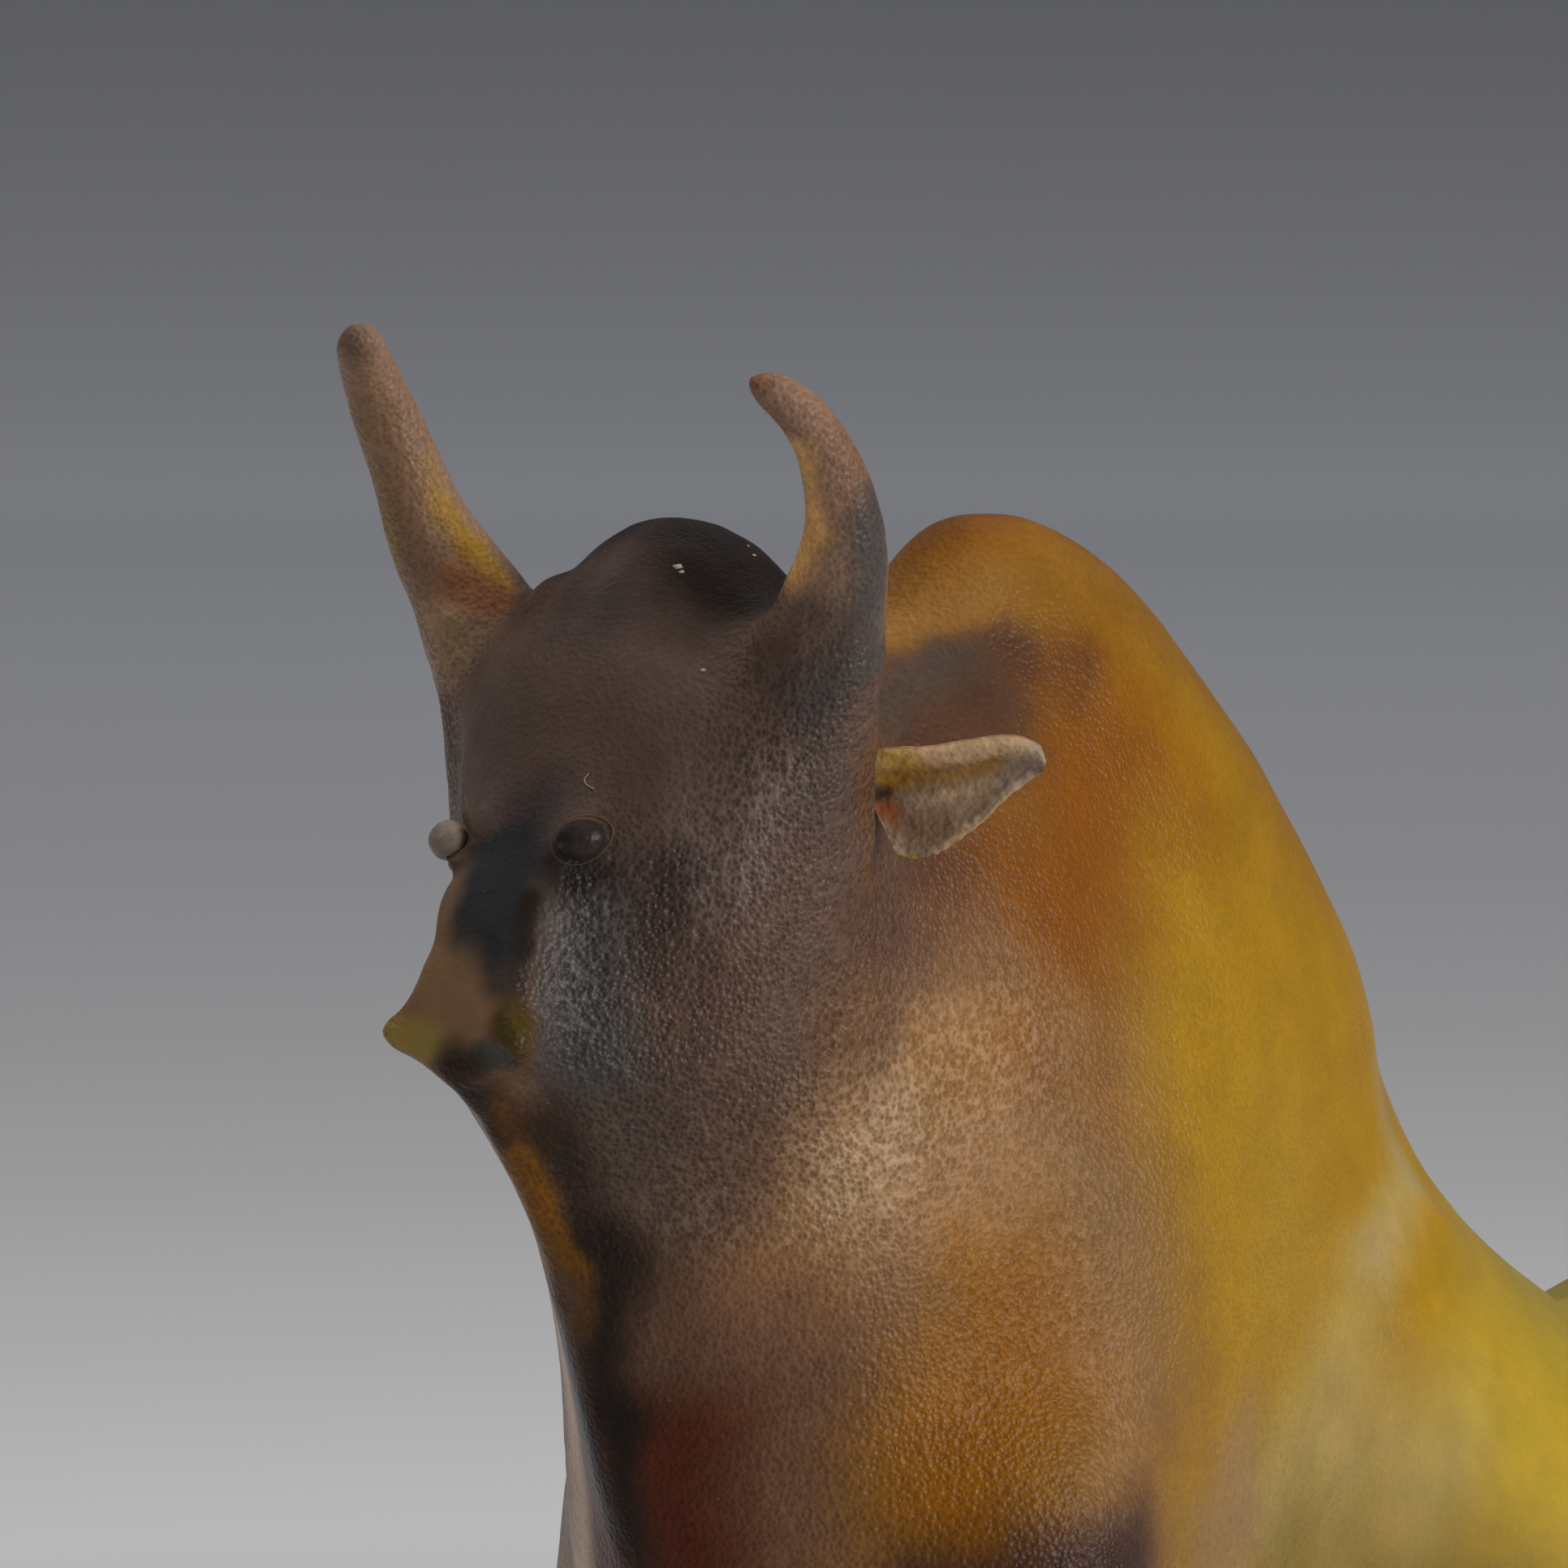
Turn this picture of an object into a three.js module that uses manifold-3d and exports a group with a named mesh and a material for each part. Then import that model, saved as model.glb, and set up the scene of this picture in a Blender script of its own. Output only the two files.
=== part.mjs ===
// A bison figurine of hot-worked satin glass, in millimetres, standing on its four feet.
// One gather of glass makes the head, hump and body. The horns, ears, bead eyes, nostrils, legs and tail
// are bits of glass that were laid on hot and have fused with it, so the whole figure is one solid.
// While it is shaped, X runs towards the nose with X = 0 between the horns, Y to the animal's left and Z up.
// The last step moves the origin to the floor, under the middle of the figure's box.

import * as THREE from "three";
import { mergeVertices } from "three/addons/utils/BufferGeometryUtils.js";
import Module from "manifold-3d";

// Driving sizes
const POLL_TOP = 113.4; // tuft between the horns
const HUMP_TOP = 112.8;
const HUMP_LEAN = 18.5; // degrees that the hump's top tips towards the head
const HEAD_HALF = 14.9; // half width of the skull at the ears
const MUZZLE_X = 16.8; // front of the flat nose
const MUZZLE_FLOOR = 80.4;
const NOSTRIL_Z = 82.6;
const EYE = new THREE.Vector3(12.1, 5.6, 94.4);
const EYE_RADIUS = 1.25;
const EAR_ROOT = new THREE.Vector3(-4.2, 14.2, 98.4);
const EAR_SWEEP = 45; // degrees that the ears point back from straight out
const RIGHT_HORN_LIFT = 2.1; // the right horn's tip stands this much higher than the left one's
const SHOULDER_HALF = 19;
const LOIN_TOP = 56;
const FORE_FOOT = { x: -12.8, y: 19.6 };
const HIND_FOOT = { x: -105, y: 15.5 };
const BELOW_FLOOR = -3; // the legs run on to here and are cut off flat at the floor
const THINNED_BY = 0.08; // points that move the joined surface by less than this are dropped

const GLASS = new THREE.MeshStandardMaterial({ color: 0x8a5a28, roughness: 0.45, metalness: 0 });

// Forms. Each is a function of x, y and z that gives about the distance to its surface, negative inside.

// Joins two forms, which run into each other over about `width`.
function melt(a, b, width) {
  const near = Math.max(width - Math.abs(a - b), 0) / width;
  return Math.min(a, b) - (near * near * width) / 4;
}

// The overlap of two forms, its edge rounded over about `width`.
const pare = (a, b, width) => -melt(-a, -b, width);

// An egg-shaped mass. `lean` tips its top towards the nose, in degrees.
function mass([cx, cy, cz], [rx, ry, rz], lean = 0) {
  const turn = THREE.MathUtils.degToRad(lean);
  const c = Math.cos(turn);
  const s = Math.sin(turn);
  return (x, y, z) => {
    const dx = (x - cx) * c - (z - cz) * s;
    const dy = y - cy;
    const dz = (x - cx) * s + (z - cz) * c;
    const reach = Math.hypot(dx / rx, dy / ry, dz / rz);
    const slope = Math.hypot(dx / rx ** 2, dy / ry ** 2, dz / rz ** 2);
    return slope > 0 ? (reach * (reach - 1)) / slope : -Math.min(rx, ry, rz);
  };
}

// A limb of round sections. Each stop is [x, y, z, radius].
function limb(...stops) {
  return (x, y, z) => {
    let nearest = Infinity;
    for (let i = 1; i < stops.length; i++) {
      const [ax, ay, az, ar] = stops[i - 1];
      const [bx, by, bz, br] = stops[i];
      const [ex, ey, ez] = [bx - ax, by - ay, bz - az];
      const share = ((x - ax) * ex + (y - ay) * ey + (z - az) * ez) / (ex * ex + ey * ey + ez * ez);
      const t = THREE.MathUtils.clamp(share, 0, 1);
      const away = Math.hypot(x - ax - t * ex, y - ay - t * ey, z - az - t * ez);
      nearest = Math.min(nearest, away - ar - t * (br - ar));
    }
    return nearest;
  };
}

// A smooth curve through [position, value] pairs, held at its end values beyond them.
function profile(...pairs) {
  const last = pairs.length - 1;
  const slope = (j) => {
    const [a, b] = [pairs[Math.max(0, j - 1)], pairs[Math.min(last, j + 1)]];
    return (b[1] - a[1]) / (b[0] - a[0]);
  };
  return (t) => {
    if (t <= pairs[0][0]) return pairs[0][1];
    if (t >= pairs[last][0]) return pairs[last][1];
    const i = pairs.findIndex(([at]) => at > t);
    const [[t0, v0], [t1, v1]] = [pairs[i - 1], pairs[i]];
    const w = t1 - t0;
    const u = (t - t0) / w;
    const h = u * u * (3 - 2 * u);
    const bend = slope(i - 1) * u * (1 - u) ** 2 - slope(i) * u * u * (1 - u);
    return v0 * (1 - h) + v1 * h + w * bend;
  };
}

// Head
const skull = mass([-1.8, 0, 98], [10.8, HEAD_HALF, 13]);
const poll = mass([-2.8, 0, POLL_TOP - 7.4], [6.5, 7.2, 7.4]);
const cheek = mass([-2.5, 5, 89], [11, 8.2, 12.5]);
const hornRoot = limb([-1, 11, 100, 4.8], [-0.5, 13.7, 105.3, 4.1], [1, 17, 111.6, 1.8]);
const eyeSocket = mass([EYE.x - 1.2, EYE.y - 1, EYE.z], [1.6, 1.6, 1.6]);

// Prow: the flat front of the face and, below the chin, the keel that runs down the chest.
// At each height it has a front edge, a flat of some width there, and sides that flare backwards.
// The flat widens at a sharp ledge under the muzzle, and over a longer stretch further back at the jaw.
const prowFront = profile([24, -16], [32, -5.5], [40, -1.5], [48.8, 2.2], [61.9, 6.9], [71.7, 11], [77, 14.5],
  [MUZZLE_FLOOR, MUZZLE_X], [85, 16.9], [87.5, 16.4], [90, 15.4], [94.5, 12.4], [102, 8.6], [110, 2]);
const brow = [[90, 3.4], [94.5, 4.7], [98, 6.5], [104, 8.5]];
const muzzleHalf = profile([MUZZLE_FLOOR - 1, 0.2], [MUZZLE_FLOOR + 1, 3.7], [85, 3.9], ...brow);
const jawHalf = profile([71, 0.2], [84.5, 3.9], ...brow);
const JAW_BEHIND = 4;
const prowSlope = profile([40, 1.5], [50, 1.35], [60, 1.08], [72, 0.85], [84, 0.32]);
const prowFlare = profile([74, 0], [86, 0.03]);
const prowBulk = mass([-12, 0, 64], [38, 15, 42]);

function prow(x, m, z) {
  const behind = Math.max(0, prowFront(z) - x);
  const half = THREE.MathUtils.lerp(muzzleHalf(z), jawHalf(z), Math.min(1, behind / JAW_BEHIND));
  const slope = prowSlope(z);
  const flare = prowFlare(z);
  const steep = Math.hypot(1, slope + 2 * flare * behind);
  const side = (m - half - slope * behind - flare * behind ** 2) / steep;
  const front = (x - prowFront(z)) * 0.85;
  return pare(pare(front, side, 1), prowBulk(x, m, z), 4);
}

function head(x, m, z) {
  let d = melt(skull(x, m, z), poll(x, m, z), 4);
  d = melt(d, cheek(x, m, z), 5);
  d = melt(d, hornRoot(x, m, z), 2.5);
  d = melt(d, prow(x, m, z), 3);
  return melt(d, eyeSocket(x, m, z), 1.2);
}

// Hump, neck and shoulders
const hump = mass([-50.8, 0, 45.2], [26.2, 16, HUMP_TOP - 42.2], HUMP_LEAN);
const neck = mass([-18, 0, 85], [16, 11.5, 17]);
const shoulder = mass([-27, 0, 58], [22, SHOULDER_HALF, 31]);
const chest = mass([-26, 0, 44], [24, SHOULDER_HALF - 2, 22]);

// The cape of the hump stands proud of the flank. Its hem runs from the back forwards to the foreleg.
const HEM_TOP = new THREE.Vector2(-70, 69);
const HEM_FOOT = new THREE.Vector2(-40, 42);
const hemRun = HEM_FOOT.clone().sub(HEM_TOP).normalize();
const hem = (x, z) => (x - HEM_TOP.x) * hemRun.y - (z - HEM_TOP.y) * hemRun.x;

// Hindquarters
const loin = limb([-58, 0, LOIN_TOP - 0.5, 17.5], [-70, 0, 49.3, 16], [-88, 0, LOIN_TOP - 13.8, 13.8]);
const belly = mass([-62, 0, 42], [34, 14, 15]);
const rump = mass([-104, 0, 45.5], [19, 13.5, 15]);
const thigh = mass([-101, 8, 40], [11, 7, 15], 12);

// Roots of the legs and tail, which swell into the body
const forelegRoot = limb([-19, 14, 50, 7.4], [-15.6, 17.4, 35, 5], [-14, 18.9, 22, 2]);
const hindlegRoot = limb([-98.5, 10.5, 36, 7], [-99, 13.2, 28, 5.6], [-103, 14.2, 21, 2.5]);
const tailRoot = limb([-117, 0, 54, 4.5], [-122.5, 0, 54, 1]);

function forequarters(x, m, z) {
  let d = melt(pare(hump(x, m, z), hem(x, z), 6), shoulder(x, m, z), 10);
  d = melt(d, chest(x, m, z), 6);
  d = melt(d, neck(x, m, z), 8);
  d = melt(d, head(x, m, z), 4);
  return melt(d, forelegRoot(x, m, z), 6);
}

function hindquarters(x, m, z) {
  let d = melt(loin(x, m * 1.08, z), rump(x, m, z), 6);
  d = melt(d, belly(x, m, z), 5);
  d = melt(d, thigh(x, m, z), 6);
  d = melt(d, hindlegRoot(x, m, z), 4);
  return melt(d, tailRoot(x, m, z), 3);
}

const figure = (x, y, z) => melt(forequarters(x, Math.abs(y), z), hindquarters(x, Math.abs(y), z), 4.5);

// Ear: a thin cupped blade that hangs from a thick rolled rim. `along` runs from the root to the tip,
// `out` towards the hollow side and `up` from the rim's own height.
const earRim = limb([-2.4, 0, 0, 1.2], [4.8, 0, 0.8, 1.1], [10, 0, 0.7, 0.9]);
const earLow = profile([0, -5.6], [2.4, -5.15], [6.3, -3.8], [8.3, -2.1], [10.2, -0.1], [11, 0.6]);
const BLADE_HALF = 0.55;

function ear(along, out, up) {
  const low = earLow(along);
  const cup = -1 + 1.2 * ((up - low / 2) / 3) ** 2;
  const outline = Math.max(up - 0.8, low - up) * 0.8;
  const blade = pare(Math.abs(out - cup) - BLADE_HALF, outline, 0.6);
  return melt(pare(blade, Math.max(along - 10.4, -2.5 - along), 0.5), earRim(along, out, up), 1.2);
}

// Meshing

// Grid lines from `from` to `to`, spaced `fine` between `a` and `b` and up to `coarse` away from there.
function gridLines(from, to, [a, b], fine, coarse) {
  const lines = [from];
  while (lines.at(-1) < to) {
    const away = Math.max(a - lines.at(-1), lines.at(-1) - b, 0);
    lines.push(lines.at(-1) + Math.min(coarse, fine + away * 0.12));
  }
  return lines;
}

function slopeAt(distance, { x, y, z }) {
  const h = 0.01;
  return new THREE.Vector3(
    distance(x + h, y, z) - distance(x - h, y, z),
    distance(x, y + h, z) - distance(x, y - h, z),
    distance(x, y, z + h) - distance(x, y, z - h),
  ).divideScalar(2 * h);
}

// The point of a cell that lies nearest to the surface's planes where it crosses the cell's edges,
// which keeps ridges and tips sharp.
function place(distance, crossings, cell) {
  const middle = new THREE.Vector3();
  for (const p of crossings) middle.addScaledVector(p, 1 / crossings.length);
  const hold = 0.15;
  const sums = [hold, 0, 0, 0, hold, 0, 0, 0, hold];
  const pull = new THREE.Vector3();
  for (const p of crossings) {
    const slope = slopeAt(distance, p);
    const steep = slope.length();
    const n = slope.divideScalar(steep);
    const gap = n.dot(p) - distance(p.x, p.y, p.z) / steep - n.dot(middle);
    const v = n.toArray();
    for (let r = 0; r < 9; r++) sums[r] += v[Math.floor(r / 3)] * v[r % 3];
    pull.addScaledVector(n, gap);
  }
  const spread = new THREE.Matrix3().set(...sums).invert();
  return cell.clampPoint(pull.applyMatrix3(spread).add(middle), new THREE.Vector3());
}

// Two triangles for a quad, cut along its shorter diagonal.
function splitQuad(points, [a, b, c, d]) {
  const span = (p, q) => points[p].distanceTo(points[q]);
  return span(a, c) <= span(b, d) ? [a, b, c, a, c, d] : [a, b, d, b, c, d];
}

// The surface of a form as one closed mesh. The grid leaves an empty layer all round the form.
function surfaceOf(distance, xs, ys, zs) {
  const [nx, ny, nz] = [xs.length, ys.length, zs.length];
  const at = (i, j, k) => (k * ny + j) * nx + i;
  const node = (i, j, k) => new THREE.Vector3(xs[i], ys[j], zs[k]);
  const value = new Float64Array(nx * ny * nz);
  for (let k = 0; k < nz; k++) {
    for (let j = 0; j < ny; j++) {
      for (let i = 0; i < nx; i++) value[at(i, j, k)] = distance(xs[i], ys[j], zs[k]);
    }
  }

  const corners = [0, 1, 2, 3, 4, 5, 6, 7].map((c) => [c & 1, (c >> 1) & 1, c >> 2]);
  const edges = corners.flatMap((_, a) => [1, 2, 4].filter((bit) => !(a & bit)).map((bit) => [a, a | bit]));
  const points = [];
  const vertexOf = new Int32Array(nx * ny * nz).fill(-1);

  function addVertex(i, j, k) {
    const v = corners.map(([a, b, c]) => value[at(i + a, j + b, k + c)]);
    const crossings = [];
    for (const [a, b] of edges) {
      if (v[a] < 0 === v[b] < 0) continue;
      const [p, q] = [corners[a], corners[b]].map((c) => node(i + c[0], j + c[1], k + c[2]));
      crossings.push(p.lerp(q, v[a] / (v[a] - v[b])));
    }
    if (!crossings.length) return;
    vertexOf[at(i, j, k)] = points.length;
    points.push(place(distance, crossings, new THREE.Box3(node(i, j, k), node(i + 1, j + 1, k + 1))));
  }

  for (let k = 0; k < nz - 1; k++) {
    for (let j = 0; j < ny - 1; j++) {
      for (let i = 0; i < nx - 1; i++) addVertex(i, j, k);
    }
  }

  // A quad round each grid edge that the surface crosses, through the four cells that share the edge
  const index = [];
  const step = [[1, 0, 0], [0, 1, 0], [0, 0, 1]];

  function addQuads(i, j, k) {
    for (let axis = 0; axis < 3; axis++) {
      const [e, f, g] = [step[axis], step[(axis + 1) % 3], step[(axis + 2) % 3]];
      const inside = value[at(i, j, k)] < 0;
      if (inside === value[at(i + e[0], j + e[1], k + e[2])] < 0) continue;
      const cellBack = (a, b) => {
        const [ci, cj, ck] = [i, j, k].map((n, c) => n - a * f[c] - b * g[c]);
        return vertexOf[at(ci, cj, ck)];
      };
      const quad = [cellBack(0, 0), cellBack(1, 0), cellBack(1, 1), cellBack(0, 1)];
      index.push(...splitQuad(points, inside ? quad : quad.reverse()));
    }
  }

  for (let k = 1; k < nz - 1; k++) {
    for (let j = 1; j < ny - 1; j++) {
      for (let i = 1; i < nx - 1; i++) addQuads(i, j, k);
    }
  }
  return new THREE.BufferGeometry().setFromPoints(points).setIndex(index);
}

// Solids

const wasm = await Module();
wasm.setup();

function solidOf(geometry) {
  const bare = geometry.clone();
  bare.deleteAttribute("normal");
  bare.deleteAttribute("uv");
  const merged = mergeVertices(bare, 1e-4);
  return new wasm.Manifold(
    new wasm.Mesh({
      numProp: 3,
      vertProperties: merged.attributes.position.array,
      triVerts: new Uint32Array(merged.index.array),
    }),
  );
}

function geometryOf(solid) {
  const mesh = solid.getMesh();
  const geometry = new THREE.BufferGeometry();
  geometry.setAttribute("position", new THREE.BufferAttribute(mesh.vertProperties, 3));
  return geometry.setIndex(new THREE.BufferAttribute(mesh.triVerts, 1));
}

// A closed strand of round sections through [x, y, z, radius] stops, mirrored to the right where side is -1.
function strand(stops, side, steps, sides) {
  const curve = new THREE.CatmullRomCurve3(stops.map(([x, y, z]) => new THREE.Vector3(x, side * y, z)));
  const radius = profile(...stops.map((stop, i) => [i / (stops.length - 1), stop[3]]));
  const frames = curve.computeFrenetFrames(steps, false);
  const points = [];
  for (let i = 0; i <= steps; i++) {
    const t = curve.getUtoTmapping(i / steps);
    for (let j = 0; j < sides; j++) {
      const angle = (j / sides) * 2 * Math.PI;
      points.push(
        curve
          .getPoint(t)
          .addScaledVector(frames.normals[i], Math.cos(angle) * radius(t))
          .addScaledVector(frames.binormals[i], Math.sin(angle) * radius(t)),
      );
    }
  }
  const index = [];
  const ring = (i, j) => i * sides + (j % sides);
  for (let i = 0; i < steps; i++) {
    for (let j = 0; j < sides; j++) {
      index.push(ring(i, j), ring(i, j + 1), ring(i + 1, j + 1));
      index.push(ring(i, j), ring(i + 1, j + 1), ring(i + 1, j));
    }
  }
  for (const end of [0, steps]) {
    points.push(curve.getPoint(end / steps));
    for (let j = 0; j < sides; j++) {
      const rim = [ring(end, j), ring(end, j + 1)];
      index.push(points.length - 1, ...(end ? rim : rim.reverse()));
    }
  }
  return solidOf(new THREE.BufferGeometry().setFromPoints(points).setIndex(index));
}

function horn(side) {
  const stops = [
    [-1.2, 13.2, 104.5, 3.6], [0, 15.2, 108.4, 3.3], [0.9, 16.9, 111.3, 2.75],
    [1.9, 17.95, 113.9, 2.3], [3, 18.4, 116.2, 1.95], [4.55, 18.45, 118.9, 1.6],
    [6.3, 17.95, 121, 1.35], [7.9, 16.95, 122.3, 1.05], [8.6, 16.4, 122.7, 0.4],
  ];
  const [root, tip] = [stops[0][2], stops.at(-1)[2]];
  const lift = side < 0 ? RIGHT_HORN_LIFT : 0;
  const raised = stops.map(([x, y, z, r]) => [x, y, z + (lift * (z - root)) / (tip - root), r]);
  return strand(raised, side, 17, 10);
}

function nostril(side) {
  const stops = [[14.2, 2.2, 1.8], [16.2, 4.2, 1.4], [17.3, 5.3, 0.95], [17.7, 5.7, 0.35]];
  return strand(stops.map(([x, y, r]) => [x, y, NOSTRIL_Z, r]), side, 6, 8);
}

function foreleg(side) {
  const { x, y } = FORE_FOOT;
  const stops = [
    [x - 3.2, y - 2.6, 38, 4.6], [x - 2.4, y - 1.7, 29, 4.5], [x - 1.4, y - 0.7, 18, 3.7],
    [x - 0.7, y - 0.2, 9, 3.3], [x - 0.2, y, 3, 3.9], [x, y, BELOW_FLOOR, 4.4],
  ];
  return strand(stops, side, 11, 10);
}

function hindleg(side) {
  const { x, y } = HIND_FOOT;
  const stops = [
    [x + 7, y - 3.5, 35, 6.4], [x + 5.5, y - 2.1, 27, 5.6], [x, y - 0.7, 19.5, 3.9],
    [x - 2.4, y - 0.1, 14, 3.2], [x - 1.6, y, 8, 3], [x - 0.4, y, 3, 3.7], [x, y, BELOW_FLOOR, 4.2],
  ];
  return strand(stops, side, 15, 10);
}

function tail() {
  const stops = [
    [-118, 0, 54, 2.6], [-122.5, 0, 54.2, 2.2], [-125.8, 0, 50, 1.6], [-126.6, 0, 43, 1.3],
    [-126, 0, 37.5, 1.7], [-125.2, 0, 33.5, 1.5], [-124.9, 0, 31.8, 0.5],
  ];
  return strand(stops, 1, 15, 8);
}

function earSolid(side) {
  const outward = gridLines(-2.8, 2.8, [-2.8, 2.8], 0.7, 0.7);
  const blade = surfaceOf(
    (t, n, w) => ear(t, -side * n, w),
    gridLines(-5.2, 12.5, [8, 12.5], 1, 1.5),
    side < 0 ? outward : outward.map((n) => -n).reverse(),
    gridLines(-7.5, 4, [-7.5, 4], 1.05, 1.05),
  );
  blade.rotateZ(side * THREE.MathUtils.degToRad(90 + EAR_SWEEP));
  return solidOf(blade.translate(EAR_ROOT.x, side * EAR_ROOT.y, EAR_ROOT.z));
}

function eye(side) {
  const bead = new THREE.SphereGeometry(EYE_RADIUS, 12, 8).rotateX(Math.PI / 2);
  return solidOf(bead.translate(EYE.x, side * EYE.y, EYE.z));
}

// The figure, cut off flat at the floor
const bulk = surfaceOf(
  figure,
  gridLines(-138, 24, [4, 22], 2.1, 5.6),
  gridLines(-30, 30, [-8, 8], 2.1, 3.6),
  gridLines(-14, 120, [80, 112], 2.2, 4.5),
);
let solid = solidOf(bulk).add(tail());
for (const side of [1, -1]) {
  for (const bit of [horn, earSolid, eye, nostril, foreleg, hindleg]) solid = solid.add(bit(side));
}
const underFloor = new THREE.BoxGeometry(400, 400, 100).translate(0, 0, -50);
solid = solid.subtract(solidOf(underFloor)).asOriginal().simplify(THINNED_BY);

const geometry = geometryOf(solid);
geometry.computeBoundingBox();
const middle = geometry.boundingBox.getCenter(new THREE.Vector3());
geometry.translate(-middle.x, -middle.y, -geometry.boundingBox.min.z);

const bison = new THREE.Mesh(geometry, GLASS);
bison.name = "bison";

const group = new THREE.Group();
group.add(bison);

export default group;
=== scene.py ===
"""A bison figurine of hot-worked satin glass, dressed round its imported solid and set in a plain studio.

Lengths are in metres. Places on the figure are given in millimetres from the floor point midway between the
horns, with X towards the nose, Y to the animal's left and Z up, and `at` turns them into the frame's metres.
"""

import math

import bmesh
import bpy
import numpy as np
from bpy.props import FloatProperty, FloatVectorProperty, IntProperty, PointerProperty
from mathutils import Euler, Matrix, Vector, noise
from mathutils.bvhtree import BVHTree


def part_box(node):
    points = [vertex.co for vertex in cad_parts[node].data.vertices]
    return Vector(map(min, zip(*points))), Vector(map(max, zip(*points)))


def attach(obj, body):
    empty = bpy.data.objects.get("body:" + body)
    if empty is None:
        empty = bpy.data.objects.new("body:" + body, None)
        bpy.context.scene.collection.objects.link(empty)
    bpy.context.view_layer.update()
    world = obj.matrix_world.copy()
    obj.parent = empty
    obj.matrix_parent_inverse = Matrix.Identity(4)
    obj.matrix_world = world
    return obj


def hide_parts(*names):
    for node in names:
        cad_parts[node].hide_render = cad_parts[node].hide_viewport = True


bl_info = {
    "name": "Satin Glass Bison",
    "version": (1, 0, 0),
    "blender": (4, 5, 0),
    "location": "3D Viewport > Sidebar > Glass Bison",
    "description": "Dresses the glass bison figurine in pebbled satin glass and sets it in a studio",
    "category": "Object",
}

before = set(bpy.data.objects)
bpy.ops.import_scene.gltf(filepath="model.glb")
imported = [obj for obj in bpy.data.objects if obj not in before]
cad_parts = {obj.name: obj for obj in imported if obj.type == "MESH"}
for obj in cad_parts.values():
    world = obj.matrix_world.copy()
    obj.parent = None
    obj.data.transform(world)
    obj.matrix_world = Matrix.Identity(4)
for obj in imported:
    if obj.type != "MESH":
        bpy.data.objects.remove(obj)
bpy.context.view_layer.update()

MM = 0.001
NOSE_REACH = 17.95 * MM  # how far the nostrils reach ahead of the horns
HORNS_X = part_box("bison")[1][0] - NOSE_REACH
EYE = (12.1, 5.6, 94.4)
EAR_ROOT = (-4.2, 14.2, 98.4)


def at(x, y, z):
    """The frame's point, in metres, for a place on the figure in millimetres."""
    return Vector((HORNS_X + x * MM, y * MM, z * MM))


# Sizes and colours that a user would change


def length(name, description, default):
    return FloatProperty(name=name, description=description, default=default, min=0, unit="LENGTH")


def share(name, description, default):
    return FloatProperty(name=name, description=description, default=default, min=0, max=1, subtype="FACTOR")


def colour(name, description, default):
    return FloatVectorProperty(
        name=name, description=description, default=default, min=0, max=1, size=3, subtype="COLOR"
    )


class BisonShape(bpy.types.PropertyGroup):
    """How the figure's glass is shaped"""

    voxel: length("Voxel", "Spacing of the mesh that the figure is reshaped from", 0.36 * MM)
    melt_rounds: IntProperty(name="Melting rounds", description="Rounds of smoothing", default=150, min=0)
    skin_faces: IntProperty(
        name="Faces", description="Faces left on the finished skin", default=186000, min=1000
    )
    nostril_pull: length("Nostril pull", "How far a nostril is pulled out of the nose", 1.8 * MM)
    bead_radius: length("Bead radius", "Radius of an eye bead", 1.27 * MM)
    lid_radius: length("Lid radius", "Radius of the lip of glass round an eye bead", 1.53 * MM)
    lid_thickness: length("Lid thickness", "Thickness of that lip", 0.13 * MM)
    rim_thickness: length("Ear rim", "Thickness of the roll along the top of an ear", 1.7 * MM)


class BisonFinish(bpy.types.PropertyGroup):
    """The satin skin of the glass"""

    roughness: share("Roughness", "How far the etched skin spreads its gloss", 0.31)
    depth: share("Depth", "Share of the light that spreads inside the glass", 0.42)
    reach: length("Reach", "How far light spreads inside the glass", 0.75 * MM)
    pebble: length("Pebble", "Width of a pebble of the skin", 0.36 * MM)
    relief: length("Relief", "Height of the pebbles", 0.19 * MM)


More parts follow.
